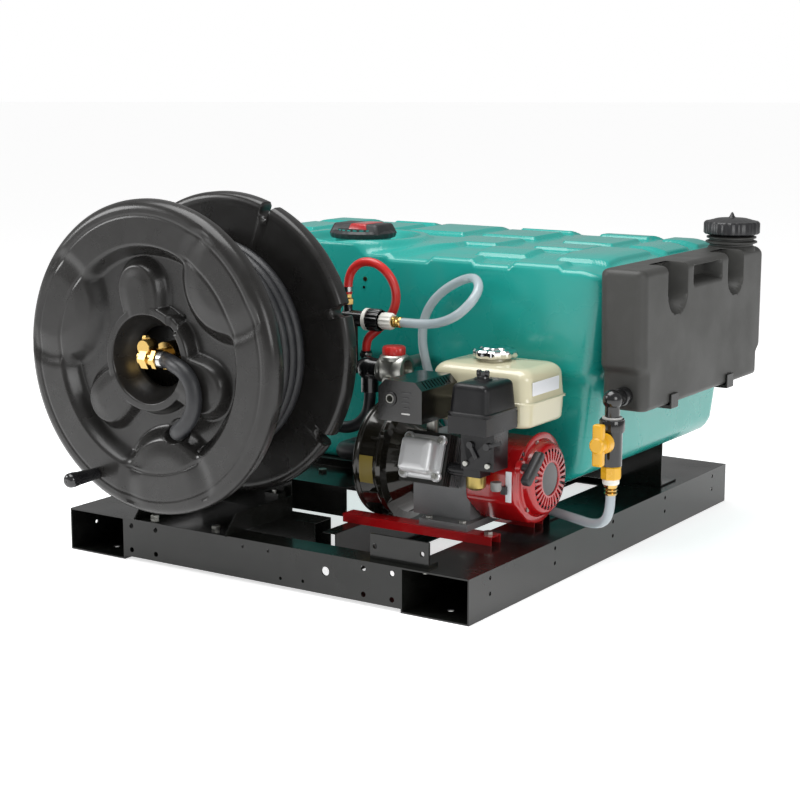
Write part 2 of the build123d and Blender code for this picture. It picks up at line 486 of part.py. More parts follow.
# ---- chemical outlet: elbow, ball valve, union and hose tail ----
VALVE_TOP, VALVE_BOTTOM, VALVE_RADIUS = 344.0, 250.0, 24.0
HANDLE_Z = 300.0
STEM_RADIUS, BALL_RADIUS, FLOW_RADIUS = 6.0, 15.0, 8.0
elbow_front = CHEM_FRONT + 8
elbow = rod("Y", VALVE_X, OUTLET_Z, 15, VALVE_Y, elbow_front) + rod("Z", VALVE_X, VALVE_Y, 15, VALVE_TOP, OUTLET_Z)
elbow += Pos(VALVE_X, VALVE_Y, OUTLET_Z) * Sphere(20)
elbow -= rod("Y", VALVE_X, OUTLET_Z, FLOW_RADIUS, VALVE_Y, elbow_front + 1)
elbow -= rod("Z", VALVE_X, VALVE_Y, FLOW_RADIUS, VALVE_TOP - 1, OUTLET_Z)
save("outlet_elbow", elbow)

valve = rod("Z", VALVE_X, VALVE_Y, VALVE_RADIUS - 3, VALVE_BOTTOM, VALVE_TOP)
valve += rod("Z", VALVE_X, VALVE_Y, VALVE_RADIUS, VALVE_TOP - 26, VALVE_TOP)
valve -= rod("Z", VALVE_X, VALVE_Y, FLOW_RADIUS, VALVE_BOTTOM - 1, VALVE_TOP + 1)
valve -= Pos(VALVE_X, VALVE_Y, HANDLE_Z) * Sphere(BALL_RADIUS + PIN_PLAY)
valve -= rod("Y", VALVE_X, HANDLE_Z, STEM_RADIUS + PIN_PLAY, VALVE_Y - VALVE_RADIUS - 1, VALVE_Y)
save("valve_body", valve)

HANDLE_FRONT = VALVE_Y - 64
handle = block(VALVE_X - 11, VALVE_X + 11, HANDLE_FRONT, HANDLE_FRONT + 16, HANDLE_Z - 42, HANDLE_Z + 42)
handle += rod("Y", VALVE_X, HANDLE_Z, 15, HANDLE_FRONT - 2, HANDLE_FRONT + 18)
handle += rod("Y", VALVE_X, HANDLE_Z, 20, HANDLE_FRONT + 16, VALVE_Y - VALVE_RADIUS - 3)
handle += rod("Y", VALVE_X, HANDLE_Z, STEM_RADIUS, VALVE_Y - VALVE_RADIUS - 4, VALVE_Y)
handle += Pos(VALVE_X, VALVE_Y, HANDLE_Z) * Sphere(BALL_RADIUS)
handle -= rod("Z", VALVE_X, VALVE_Y, FLOW_RADIUS, HANDLE_Z - 20, HANDLE_Z + 20)
save("valve_handle", handle)

TAIL_END = 190.0
union_nut = Pos(VALVE_X, VALVE_Y, 223) * extrude(RegularPolygon(21, 6), amount=27)
union_nut -= rod("Z", VALVE_X, VALVE_Y, FLOW_RADIUS, 222, 251)
washer = tube("Z", VALVE_X, VALVE_Y, 17, FLOW_RADIUS, 212, 223)
tail = turned("Z", VALVE_X, VALVE_Y, [(6, TAIL_END), (12, TAIL_END), (13.5, 195), (10.5, 197), (13.5, 202),
                                      (10.5, 204), (13.5, 210), (13.5, 212), (6, 212)])
save("valve_union", union_nut, washer, tail)

# ---- pump ----
SHAFT_RADIUS = 12.0
IMPELLER_RADIUS = PUMP_RADIUS - 28
volute = rod("X", CRANK_Y, CRANK_Z, PUMP_RADIUS, PUMP_LEFT, PUMP_RIGHT)
volute -= rod("X", CRANK_Y, CRANK_Z, IMPELLER_RADIUS + 10, PUMP_LEFT + 8, PUMP_RIGHT + 1)
volute += rod("X", CRANK_Y, CRANK_Z, 26, PUMP_LEFT - 30, PUMP_LEFT + 1)
volute -= rod("X", CRANK_Y, CRANK_Z, 17, PUMP_LEFT - 31, PUMP_LEFT + 9)
OUTLET_X = 103.0
volute += rod("Z", OUTLET_X, CRANK_Y, 23, CRANK_Z + PUMP_RADIUS - 12, 366)
volute -= rod("Z", OUTLET_X, CRANK_Y, 15, CRANK_Z + IMPELLER_RADIUS, 367)
volute -= block(PUMP_LEFT - 1, PUMP_RIGHT + 1, CRANK_Y - 60, CRANK_Y + 60, CRANK_Z - PUMP_RADIUS - 1, POCKET_HEIGHT + 2)
save("pump_volute", volute)

pump_bell = turned("X", CRANK_Y, CRANK_Z, [
    (SHAFT_RADIUS + 0.5, PUMP_RIGHT), (PUMP_RADIUS + 2, PUMP_RIGHT), (PUMP_RADIUS + 2, PUMP_RIGHT + 9),
    (PUMP_RADIUS - 14, PUMP_RIGHT + 14), (PUMP_RADIUS - 46, 204), (SHAFT_RADIUS + 0.5, 204),
    (SHAFT_RADIUS + 0.5, 196), (PUMP_RADIUS - 58, 196), (PUMP_RADIUS - 24, PUMP_RIGHT + 20),
    (PUMP_RADIUS - 24, PUMP_RIGHT + 8), (SHAFT_RADIUS + 0.5, PUMP_RIGHT + 8)])
for degrees in (35, 145, 235, 325):
    y = CRANK_Y + PUMP_RADIUS * math.cos(math.radians(degrees))
    z = CRANK_Z + PUMP_RADIUS * math.sin(math.radians(degrees))
    pump_bell += rod("X", y, z, 9, PUMP_RIGHT, PUMP_RIGHT + 9)
save("pump_bell", pump_bell)

impeller = rod("X", CRANK_Y, CRANK_Z, IMPELLER_RADIUS, 124, 129) + rod("X", CRANK_Y, CRANK_Z, 20, 96, 129)
for number in range(6):
    blade = block(18, IMPELLER_RADIUS - 4, -2, 2, 0, 24)
    impeller += Pos(101, CRANK_Y, CRANK_Z) * Rot(0, 90, 0) * Rot(0, 0, 60 * number) * blade
impeller -= rod("X", CRANK_Y, CRANK_Z, SHAFT_RADIUS, 95, 130)
save("pump_impeller", impeller)

# ---- engine castings ----
HEAD_TILT = 72.0
CASE_LEFT, CASE_RIGHT = 204.0, 340.0
CASE_BASE = rail_top
CYLINDER_X = 267.0


def along_cylinder(shape):
    """Moves a shape made along +Z at the origin onto the tilted cylinder axis."""
    return Pos(CYLINDER_X, CRANK_Y, CRANK_Z) * Rot(HEAD_TILT, 0, 0) * shape


crankcase = block(CASE_LEFT, CASE_RIGHT, -322, -170, 122, 282)
crankcase += along_cylinder(Pos(0, 0, 90) * Box(84, 84, 44))
for place in (78, 86, 94, 102, 110):
    crankcase += along_cylinder(Pos(0, 0, place) * Box(100, 100, 3))
crankcase += block(CASE_LEFT + 34, CASE_RIGHT + 12, RAIL_FRONT_Y - 10, RAIL_REAR_Y + 12, CASE_BASE, CASE_BASE + 14)
crankcase -= rod("X", CRANK_Y, CRANK_Z, 52, CASE_LEFT + 12, CASE_RIGHT - 12)
crankcase -= rod("X", CRANK_Y, CRANK_Z, SHAFT_RADIUS + PIN_PLAY, CASE_LEFT - 1, CASE_RIGHT + 1)
crankcase -= along_cylinder(Pos(0, 0, 80) * Cylinder(34, 80))
for x in FOOT_BOLT_XS:
    for y in (RAIL_FRONT_Y, RAIL_REAR_Y):
        crankcase -= rod("Z", x, y, ENGINE_BOLT + BOLT_PLAY, CASE_BASE - 1, CASE_BASE + 15)
        crankcase -= rod("Z", x, y, 2.4 * ENGINE_BOLT, CASE_BASE + 14, CASE_BASE + 24)
save("crankcase", crankcase)

head = along_cylinder(Pos(0, 0, 129) * Box(88, 88, 34))
for place in (118, 126, 134, 142):
    head += along_cylinder(Pos(0, 0, place) * Box(104, 104, 3))
save("cylinder_head", head)

rocker = along_cylinder(Pos(0, 0, 149) * Box(92, 88, 6) + Pos(0, 0, 168) * Box(76, 72, 42))
rocker = chamfer(rocker.edges().group_by(Axis.Y)[0], 6)
for x, y in ((-38, -36), (38, -36), (38, 36), (-38, 36)):
    rocker += along_cylinder(Pos(x, y, 155) * Cylinder(5, 8))
save("rocker_cover", rocker)

# ---- rotating group ----
crankshaft = rod("X", CRANK_Y, CRANK_Z, SHAFT_RADIUS, 96, 430)
crankshaft -= block(247, 287, CRANK_Y - 13, CRANK_Y + 13, CRANK_Z - 13, CRANK_Z + 13)
for start in (237, 283):
    crankshaft += rod("X", CRANK_Y, CRANK_Z, 44, start, start + 14)
crankshaft += rod("X", CRANK_Y, CRANK_Z + 27, 13, 250, 284)
save("crankshaft", crankshaft)

FLYWHEEL_RADIUS = 68.0
flywheel = rod("X", CRANK_Y, CRANK_Z, FLYWHEEL_RADIUS, 356, 376) + rod("X", CRANK_Y, CRANK_Z, 30, 346, 392)
for number in range(12):
    fan_blade = block(38, FLYWHEEL_RADIUS - 2, -1.5, 1.5, 0, 20)
    flywheel += Pos(375, CRANK_Y, CRANK_Z) * Rot(0, 90, 0) * Rot(0, 0, 30 * number) * fan_blade
flywheel -= rod("X", CRANK_Y, CRANK_Z, SHAFT_RADIUS, 345, 393)
save("flywheel", flywheel)

# ---- fan shroud and starter ----
SHROUD_LEFT, SHROUD_RIGHT = 341.0, 452.0
shroud_outline = [(-343, 240), (-300, 284), (-205, 288), (-160, 262), (-148, 212), (-160, 158), (-200, 124),
                  (-284, 124), (-343, 176)]
shroud_inside = [(-339, 238), (-298, 280), (-207, 284), (-164, 260), (-152, 212), (-164, 160), (-202, 128),
                 (-282, 128), (-339, 178)]
shroud = prism("X", shroud_outline, SHROUD_LEFT, SHROUD_RIGHT)
shroud -= prism("X", shroud_inside, SHROUD_LEFT + 4, SHROUD_RIGHT + 1)
shroud -= rod("X", CRANK_Y, CRANK_Z, 34, SHROUD_LEFT - 1, SHROUD_LEFT + 5)
shroud += block(424, 444, -351, -342, 190, 218)
shroud -= block(427, 441, -352, -345, 193, 215)
save("fan_shroud", shroud)

stop_switch = block(428, 440, -354, -347, 196, 212) + rod("X", -349, 204, 3, 428, 440)
save("stop_switch", stop_switch)

STARTER_FACE = 480.0
starter = turned("X", CRANK_Y, CRANK_Z, [
    (0, STARTER_FACE - 3), (0, STARTER_FACE), (66, STARTER_FACE), (74, STARTER_FACE - 6), (80, SHROUD_RIGHT + 4),
    (92, SHROUD_RIGHT + 4), (92, SHROUD_RIGHT), (76, SHROUD_RIGHT), (71, STARTER_FACE - 8), (64, STARTER_FACE - 3)])
for number in range(28):
    slot = block(36, 62, -1.6, 1.6, -6, 6)
    starter -= Pos(STARTER_FACE, CRANK_Y, CRANK_Z) * Rot(0, 90, 0) * Rot(0, 0, 360 / 28 * number) * slot
face_plate = prism("X", shroud_outline, SHROUD_RIGHT, SHROUD_RIGHT + 3)
starter += face_plate - rod("X", CRANK_Y, CRANK_Z, 78, SHROUD_RIGHT - 1, SHROUD_RIGHT + 4)
PULL_Y, PULL_Z = -328.0, 250.0
starter += rod("X", PULL_Y, PULL_Z, 13, SHROUD_RIGHT + 2, SHROUD_RIGHT + 12)
save("recoil_cover", starter)

pull = Pos(486, PULL_Y, PULL_Z) * Rot(-50, 0, 0) * (Box(20, 20, 64) + Pos(0, 0, 32) * Rot(0, 90, 0) * Cylinder(
    10, 20) + Pos(0, 0, -32) * Rot(0, 90, 0) * Cylinder(10, 20))
pull += rod("X", PULL_Y, PULL_Z, 8, SHROUD_RIGHT + 12.5, 478)
save("starter_handle", pull)

# ---- fuel tank and cap ----
FUEL_LEFT, FUEL_RIGHT, FUEL_FRONT, FUEL_BACK = 228.0, 468.0, -315.0, -144.0
FUEL_BASE, FUEL_SEAM, FUEL_TOP = 320.0, 370.0, 443.0
CAP_X, CAP_Y, CAP_RADIUS = 342.0, -232.0, 46.0
fuel = block(FUEL_LEFT + 5, FUEL_RIGHT - 5, FUEL_FRONT + 5, FUEL_BACK - 5, FUEL_BASE, FUEL_TOP)
fuel = fillet(fuel.edges().filter_by(Axis.Z), 26)
fuel = chamfer(fuel.edges().group_by(Axis.Z)[-1], 18)
fuel += block(FUEL_LEFT, FUEL_RIGHT, FUEL_FRONT, FUEL_BACK, FUEL_SEAM - 1.5, FUEL_SEAM + 1.5)
fuel += rod("Z", CAP_X, CAP_Y, 30, FUEL_TOP - 2, FUEL_TOP + 12)
fuel_space = block(FUEL_LEFT + 8, FUEL_RIGHT - 8, FUEL_FRONT + 8, FUEL_BACK - 8, FUEL_BASE + 3, FUEL_TOP - 3)
fuel_space = fillet(fuel_space.edges().filter_by(Axis.Z), 23)
fuel_space = chamfer(fuel_space.edges().group_by(Axis.Z)[-1], 18)
fuel -= fuel_space
fuel -= rod("Z", CAP_X, CAP_Y, 26, FUEL_TOP - 10, FUEL_TOP + 13)
save("fuel_tank", fuel)

fuel_cap = rod("Z", CAP_X, CAP_Y, CAP_RADIUS, FUEL_TOP + 4, FUEL_TOP + 24)
fuel_cap -= rod("Z", CAP_X, CAP_Y, 30 + FREE_GAP, FUEL_TOP + 3, FUEL_TOP + 12 + FREE_GAP)
save("fuel_cap", fuel_cap)

# ---- muffler and its guard ----
GUARD_LEFT, GUARD_RIGHT, GUARD_FRONT, GUARD_BACK = 203.0, 305.0, -450.0, -318.0
GUARD_BASE, GUARD_TOP = 338.0, 420.0
GUARD_SHEET = 1.6
guard = block(GUARD_LEFT, GUARD_RIGHT, GUARD_FRONT, GUARD_BACK, GUARD_BASE, GUARD_TOP)
guard = chamfer(guard.edges().group_by(Axis.Z)[-1].filter_by(Axis.Y), 16)
guard_space = block(GUARD_LEFT + GUARD_SHEET, GUARD_RIGHT - GUARD_SHEET, GUARD_FRONT + GUARD_SHEET,
                    GUARD_BACK - GUARD_SHEET, GUARD_BASE - 1, GUARD_TOP - GUARD_SHEET)
guard -= chamfer(guard_space.edges().group_by(Axis.Z)[-1].filter_by(Axis.Y), 16)
EXHAUST_X, EXHAUST_Z = 232.0, 383.0
guard -= rod("Y", EXHAUST_X, EXHAUST_Z, 14, GUARD_FRONT - 1, GUARD_FRONT + 3)
for number in range(9):
    y = GUARD_FRONT + 22 + 11 * number
    guard -= Pos(GUARD_RIGHT - 8, y, GUARD_TOP - 8) * Rot(0, 45, 0) * Box(17, 4, 8)
save("muffler_guard", guard)

muffler = block(GUARD_LEFT + 8, GUARD_RIGHT - 10, GUARD_FRONT + 16, GUARD_BACK - 10, GUARD_BASE + 10, GUARD_TOP - 18)
muffler += rod("Y", EXHAUST_X, EXHAUST_Z, 9, GUARD_FRONT - 3, GUARD_FRONT + 18)
muffler -= rod("Y", EXHAUST_X, EXHAUST_Z, 7, GUARD_FRONT - 4, GUARD_FRONT + 30)
muffler += rod("Z", 262, -341, 12, 280, GUARD_BASE + 12)
muffler -= head
muffler -= crankcase
save("muffler", muffler)

# ---- carburettor and air cleaner ----
AIR_LEFT, AIR_RIGHT, AIR_FRONT, AIR_BACK = 358.0, 445.0, -440.0, -318.0
AIR_BASE, AIR_SEAM, AIR_TOP = 327.0, 362.0, 428.0
AIR_WALL = 2.5
STUD_X, STUD_Y, AIR_STUD = 401.0, -379.0, 3.0
carburettor = block(366, 404, -392, -352, 232, 250) + rod("Z", 383, -372, 17, 208, 234)
carburettor += rod("X", -366, 237, 12.5, 319, 366)
save("carburettor", carburettor)

air_base = block(AIR_LEFT, AIR_RIGHT, AIR_FRONT, AIR_BACK, AIR_BASE, AIR_SEAM)
air_base -= block(AIR_LEFT + AIR_WALL, AIR_RIGHT - AIR_WALL, AIR_FRONT + AIR_WALL, AIR_BACK - AIR_WALL,
                  AIR_BASE + AIR_WALL, AIR_SEAM + 1)
air_base += block(366, 440, -402, -346, 250, AIR_BASE + 1)
air_base += rod("Z", STUD_X, STUD_Y, AIR_STUD, AIR_BASE + 1, AIR_TOP + 14)
for x in (378, 428):
    air_base += rod("Y", x, 262, 6, -405, -401)
save("air_cleaner_base", air_base)

air_cover = block(AIR_LEFT - 2, AIR_RIGHT + 2, AIR_FRONT - 2, AIR_BACK + 1, AIR_SEAM, AIR_TOP)
air_cover = fillet(air_cover.edges().filter_by(Axis.Z), 10)
air_cover = chamfer(air_cover.edges().group_by(Axis.Z)[-1], 6)
air_cover -= block(AIR_LEFT + AIR_WALL, AIR_RIGHT - AIR_WALL, AIR_FRONT + AIR_WALL, AIR_BACK - AIR_WALL,
                   AIR_SEAM - 1, AIR_TOP - 6)
air_cover -= rod("Z", STUD_X, STUD_Y, AIR_STUD + 1, AIR_TOP - 10, AIR_TOP + 1)
save("air_cleaner_cover", air_cover)

air_filter = block(AIR_LEFT + 10, AIR_RIGHT - 10, AIR_FRONT + 12, AIR_BACK - 12, AIR_BASE + AIR_WALL, AIR_TOP - 14)
air_filter -= rod("Z", STUD_X, STUD_Y, 24, AIR_BASE, AIR_TOP - 18)
air_filter -= rod("Z", STUD_X, STUD_Y, AIR_STUD + 1, AIR_BASE, AIR_TOP)
save("air_filter", air_filter)

wing_knob = rod("Z", STUD_X, STUD_Y, 14, AIR_TOP + 0.3, AIR_TOP + 5)
wing_knob += rod("Z", STUD_X, STUD_Y, 7, AIR_TOP + 4, AIR_TOP + 16)
wing_knob += Pos(STUD_X, STUD_Y, AIR_TOP + 12) * Box(30, 5, 12)
wing_knob -= rod("Z", STUD_X, STUD_Y, AIR_STUD + PIN_PLAY, AIR_TOP, AIR_TOP + 14.5)
save("wing_knob", wing_knob)


def control_lever(name, x, z, length, tilt):
    """A small flat lever on a pin that turns about Y at the intake's front."""
    lever = rod("Y", x, z, 7, -408, -402 - 0.3)
    arm = Pos(length / 2, 0, 0) * Box(length, 3, 8)
    lever += Pos(x, -405.5, z) * Rot(0, tilt, 0) * arm
    save(name, lever)


control_lever("choke_lever", 388, 300, 30, 60)
control_lever("throttle_lever", 426, 300, 34, -20)

# ---- manifold on the pump outlet ----
TEE_Z = 412.0
BALL_X, BALL_Z = 42.0, 396.0
PRIME_NECK, PRIME_CAP = 17.0, 22.0
tee = rod("Z", OUTLET_X, CRANK_Y, 21, 366, 428) + rod("Z", OUTLET_X, CRANK_Y, PRIME_NECK, 427, 438)
tee += rod("Y", OUTLET_X, TEE_Z - 6, 13, CRANK_Y, TANK_FRONT)
tee += rod("X", CRANK_Y, BALL_Z, 18, BALL_X + 34, OUTLET_X)
tee -= rod("Z", OUTLET_X, CRANK_Y, 14, 365, 439)
tee -= rod("Y", OUTLET_X, TEE_Z - 6, 9, CRANK_Y, TANK_FRONT - 4)
tee -= rod("X", CRANK_Y, BALL_Z, 12, BALL_X + 33, OUTLET_X)
save("manifold_tee", tee)

priming_cap = rod("Z", OUTLET_X, CRANK_Y, PRIME_CAP, 429, 454)
priming_cap -= rod("Z", OUTLET_X, CRANK_Y, PRIME_NECK + FREE_GAP, 428, 438 + FREE_GAP)
save("priming_cap", priming_cap)

RISER_X = -4.0
INDUCTOR_Z = 500.0
COLUMN_END = 318.0
elbow_block = Pos(BALL_X, CRANK_Y, BALL_Z) * Sphere(27)
elbow_block += rod("X", CRANK_Y, BALL_Z, 24, BALL_X + 12, BALL_X + 34)
elbow_block += rod("Z", BALL_X, CRANK_Y, 19, 346, BALL_Z)
elbow_block += rod("X", CRANK_Y, BALL_Z, 14, RISER_X, BALL_X)
elbow_block += rod("Z", RISER_X, CRANK_Y, 13, BALL_Z - 14, INDUCTOR_Z - 17)
elbow_block += rod("Z", 21, CRANK_Y + 17, 12, BALL_Z, 430)
elbow_block += rod("Y", 21, BALL_Z + 8, 10, CRANK_Y, CRANK_Y + 17)
elbow_block -= rod("Z", BALL_X, CRANK_Y, 11, 345, BALL_Z)
elbow_block -= rod("X", CRANK_Y, BALL_Z, 11, BALL_X, BALL_X + 35)
save("manifold_elbow", elbow_block)

# ---- inductor above the manifold ----
inductor = rod("X", CRANK_Y, INDUCTOR_Z, 17, RISER_X - 18, 38) + rod("X", CRANK_Y, INDUCTOR_Z, 23, 34, 40)
inductor += rod("X", CRANK_Y, INDUCTOR_Z, 22, 43, 72) + rod("X", CRANK_Y, INDUCTOR_Z, 15, 38, 44)
inductor += rod("Z", RISER_X - 10, CRANK_Y, 10, INDUCTOR_Z, INDUCTOR_Z + 30)
inductor -= rod("X", CRANK_Y, INDUCTOR_Z, 7, RISER_X - 10, 73)
inductor -= rod("Z", RISER_X - 10, CRANK_Y, 5, INDUCTOR_Z, INDUCTOR_Z + 31)
inductor -= rod("Z", RISER_X, CRANK_Y, 13, INDUCTOR_Z - 20, INDUCTOR_Z - 17)
save("inductor", inductor)

FEED_END = (123.0, CRANK_Y, INDUCTOR_Z)
white_nut = tube("X", CRANK_Y, INDUCTOR_Z, 17, 5, 72, 101)
feed_tail = turned("X", CRANK_Y, INDUCTOR_Z, [(5, 101), (12, 101), (12, 107), (9, 109), (12, 113), (9, 116),
                                              (12, 120), (11, 123), (5, 123)])
RED_START_Z = INDUCTOR_Z + 50
red_tail = tube("Z", RISER_X - 10, CRANK_Y, 12, 4, INDUCTOR_Z + 30, INDUCTOR_Z + 42)
red_tail += tube("Z", RISER_X - 10, CRANK_Y, 9, 4, INDUCTOR_Z + 41, RED_START_Z)
save("inductor_tails", white_nut, feed_tail, red_tail)

# ---- hoses ----
FEED_HOSE_ROUTE = [
    (VALVE_X, VALVE_Y, TAIL_END), (VALVE_X, VALVE_Y, 160), (586, -210, 131), (552, -196, 119), (506, -176, 119),
    (450, -158, 121), (390, -146, 126), (326, -144, 136), (266, -140, 156), (216, -130, 192), (184, -127, 238),
    (162, -129, 290), (146, -145, 340), (132, -158, 392), (120, -160, 444), (120, -156, 494), (140, -152, 536),
    (176, -148, 568), (222, -152, 590), (262, -176, 596), (290, -208, 580), (290, -240, 554), (260, -250, 524),
    (216, -246, 506), (172, CRANK_Y, INDUCTOR_Z), FEED_END]
hose("feed_hose", FEED_HOSE_ROUTE, FEED_HOSE_DIAMETER)

DOSING_HOSE_ROUTE = [
    (RISER_X - 10, CRANK_Y, RED_START_Z), (RISER_X - 10, CRANK_Y, 574), (-6, -240, 602), (20, -237, 622),
    (56, -231, 618), (84, -223, 590), (92, -215, 556), (82, -207, 522), (60, -205, 492), (36, -212, 470),
    (21, CRANK_Y + 17, 454), (21, CRANK_Y + 17, 430)]
hose("dosing_hose", DOSING_HOSE_ROUTE, DOSING_HOSE_DIAMETER)

SUCTION_PIPE_ROUTE = [
    (SUCTION_X, lower_front - 14, SUCTION_Z), (SUCTION_X, -164, SUCTION_Z), (-54, -202, 201), (-26, -230, 208),
    (14, CRANK_Y, CRANK_Z), (PUMP_LEFT - 30, CRANK_Y, CRANK_Z)]
hose("suction_pipe", SUCTION_PIPE_ROUTE, SUCTION_PIPE_DIAMETER)

DELIVERY_HOSE_ROUTE = [
    (BALL_X, CRANK_Y, 346), (BALL_X, CRANK_Y, 316), (26, -239, 284), (-6, -240, 262), (-46, -248, 262),
    (-86, -262, 284), (-120, -276, 318), (-150, -284, 360), (-176, -286, 403), (-196, -292, 435),
    (REEL_X, -316, REEL_Z), (REEL_X, STAND_BACK + 22, REEL_Z)]
hose("delivery_hose", DELIVERY_HOSE_ROUTE, DELIVERY_HOSE_DIAMETER)

# ---- fasteners ----
fasteners = [bolt(x, y, POCKET_HEIGHT + SKID_WALL, 2 * SKID_WALL, FRAME_BOLT) for x, y in STAND_BOLTS]
fasteners += [bolt(x, y, POCKET_HEIGHT + 6, 6 + SKID_WALL, FRAME_BOLT) for x, y in BRACKET_BOLTS]
fasteners += [bolt(x, y, SHELF_TOP, SKID_WALL, FRAME_BOLT) for x, y in SHELF_BOLTS]
fasteners += [bolt(x, y, rail_top, RAIL_HEIGHT + SKID_WALL, FRAME_BOLT) for x, y in RAIL_BOLTS]
for y in (RAIL_FRONT_Y, RAIL_REAR_Y):
    fasteners += [bolt(x, y, CASE_BASE + 14, 14 + SKID_WALL, ENGINE_BOLT) for x in FOOT_BOLT_XS]
save("fasteners", *fasteners)
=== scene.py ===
import json
import math
import bmesh
import bpy
import numpy as np
from mathutils import Matrix, Vector


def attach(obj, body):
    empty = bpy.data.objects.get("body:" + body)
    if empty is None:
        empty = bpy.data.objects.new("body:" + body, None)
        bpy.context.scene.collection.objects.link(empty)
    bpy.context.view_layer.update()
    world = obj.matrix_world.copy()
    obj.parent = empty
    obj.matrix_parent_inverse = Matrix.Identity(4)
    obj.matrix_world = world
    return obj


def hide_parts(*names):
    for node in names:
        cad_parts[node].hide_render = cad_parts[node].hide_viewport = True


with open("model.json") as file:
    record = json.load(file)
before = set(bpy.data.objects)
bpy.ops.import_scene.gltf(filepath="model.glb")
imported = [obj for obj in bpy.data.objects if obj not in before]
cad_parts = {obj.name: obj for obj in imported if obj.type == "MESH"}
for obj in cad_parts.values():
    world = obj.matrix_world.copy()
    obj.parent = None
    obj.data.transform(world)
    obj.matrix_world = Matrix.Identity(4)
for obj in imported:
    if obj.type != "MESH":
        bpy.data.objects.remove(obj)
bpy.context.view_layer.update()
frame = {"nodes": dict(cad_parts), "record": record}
nodes = frame["nodes"]
scene = bpy.context.scene
MM = 0.001

# ---- camera ----
# It stands to the right of the front, a little above the tank, and looks slightly down.
camera = bpy.data.objects.new("camera", bpy.data.cameras.new("camera"))
scene.collection.objects.link(camera)
scene.camera = camera
camera.data.lens = 82.9
camera.data.sensor_width = 36.0
camera.data.clip_start, camera.data.clip_end = 0.1, 40.0
turn, dip, lean = math.radians(33.28), math.radians(10.67), math.radians(0.056)
ahead = Vector((-math.sin(turn) * math.cos(dip), math.cos(turn) * math.cos(dip), -math.sin(dip)))
across = ahead.cross(Vector((0, 0, 1))).normalized()
upward = across.cross(ahead)
tilted = across * math.cos(lean) + upward * math.sin(lean)
pose = Matrix((tilted, (-ahead).cross(tilted), -ahead)).transposed().to_4x4()
pose.translation = Vector((2.202, -3.417, 1.051))
camera.matrix_world = pose


# ---- hoses ----
# Extruded tubes cut to length: reinforced black rubber for pressure, red rubber from the inductor down to the
# manifold, and clear vinyl from the dosing valve. Each is pushed onto a ribbed tail at both ends.
def linear(red, green, blue):
    """A screen colour from 0 to 255 as the linear colour a shader takes."""
    part = np.array([red, green, blue]) / 255
    part = np.where(part <= 0.04045, part / 12.92, ((part + 0.055) / 1.055) ** 2.4)
    return (*part.tolist(), 1.0)


def set_inputs(node, **values):
    """Sets a node's input sockets by name, with _ for a space, and hands the node back."""
    for socket, value in values.items():
        node.inputs[socket.replace("_", " ")].default_value = value
    return node


def handled_skin():
    """A shared effect over object coordinates: broad blotches shift the roughness and mix in a little of the
    worn colour, dust settles in fine specks, and a noise of the given scale is the grain's height."""
    group = bpy.data.node_groups.new("handled_skin", "ShaderNodeTree")
    for name, way, kind in (("Colour", "INPUT", "Color"), ("Worn", "INPUT", "Color"), ("Scale", "INPUT", "Float"),
                            ("Smoothest", "INPUT", "Float"), ("Roughest", "INPUT", "Float"),
                            ("Wear", "INPUT", "Float"), ("Base", "OUTPUT", "Color"),
                            ("Roughness", "OUTPUT", "Float"), ("Grain", "OUTPUT", "Float")):
        group.interface.new_socket(name, in_out=way, socket_type="NodeSocket" + kind)

    def put(kind, **values):
        """A new node of that kind in the group, with those inputs."""
        return set_inputs(group.nodes.new(kind), **values)

    inside, outside, place = put("NodeGroupInput"), put("NodeGroupOutput"), put("ShaderNodeTexCoord")
    blotch = put("ShaderNodeTexNoise", Scale=9.0, Detail=5.0)
    grain = put("ShaderNodeTexNoise", Detail=3.0)
    speck = put("ShaderNodeTexNoise", Scale=38.0, Detail=8.0)
    spread = put("ShaderNodeMapRange", From_Min=0.35, From_Max=0.65)
    edge = put("ShaderNodeMapRange", From_Min=0.45, From_Max=0.75)
    amount, mix = put("ShaderNodeMath"), put("ShaderNodeMix")
    amount.operation, mix.data_type = "MULTIPLY", "RGBA"
    given, taken = inside.outputs, outside.inputs
    for start, end in ((place.outputs["Object"], blotch.inputs["Vector"]),
                       (place.outputs["Object"], grain.inputs["Vector"]),
                       (place.outputs["Object"], speck.inputs["Vector"]), (given["Scale"], grain.inputs["Scale"]),
                       (blotch.outputs["Fac"], spread.inputs["Value"]),
                       (given["Smoothest"], spread.inputs["To Min"]),
                       (given["Roughest"], spread.inputs["To Max"]),
                       (spread.outputs["Result"], taken["Roughness"]), (grain.outputs["Fac"], taken["Grain"]),
                       (speck.outputs["Fac"], edge.inputs["Value"]), (edge.outputs["Result"], amount.inputs[0]),
                       (given["Wear"], amount.inputs[1]), (amount.outputs[0], mix.inputs["Factor"]),
                       (given["Colour"], mix.inputs["A"]), (given["Worn"], mix.inputs["B"]),
                       (mix.outputs["Result"], taken["Base"])):
        group.links.new(start, end)
    return group


skin = handled_skin()


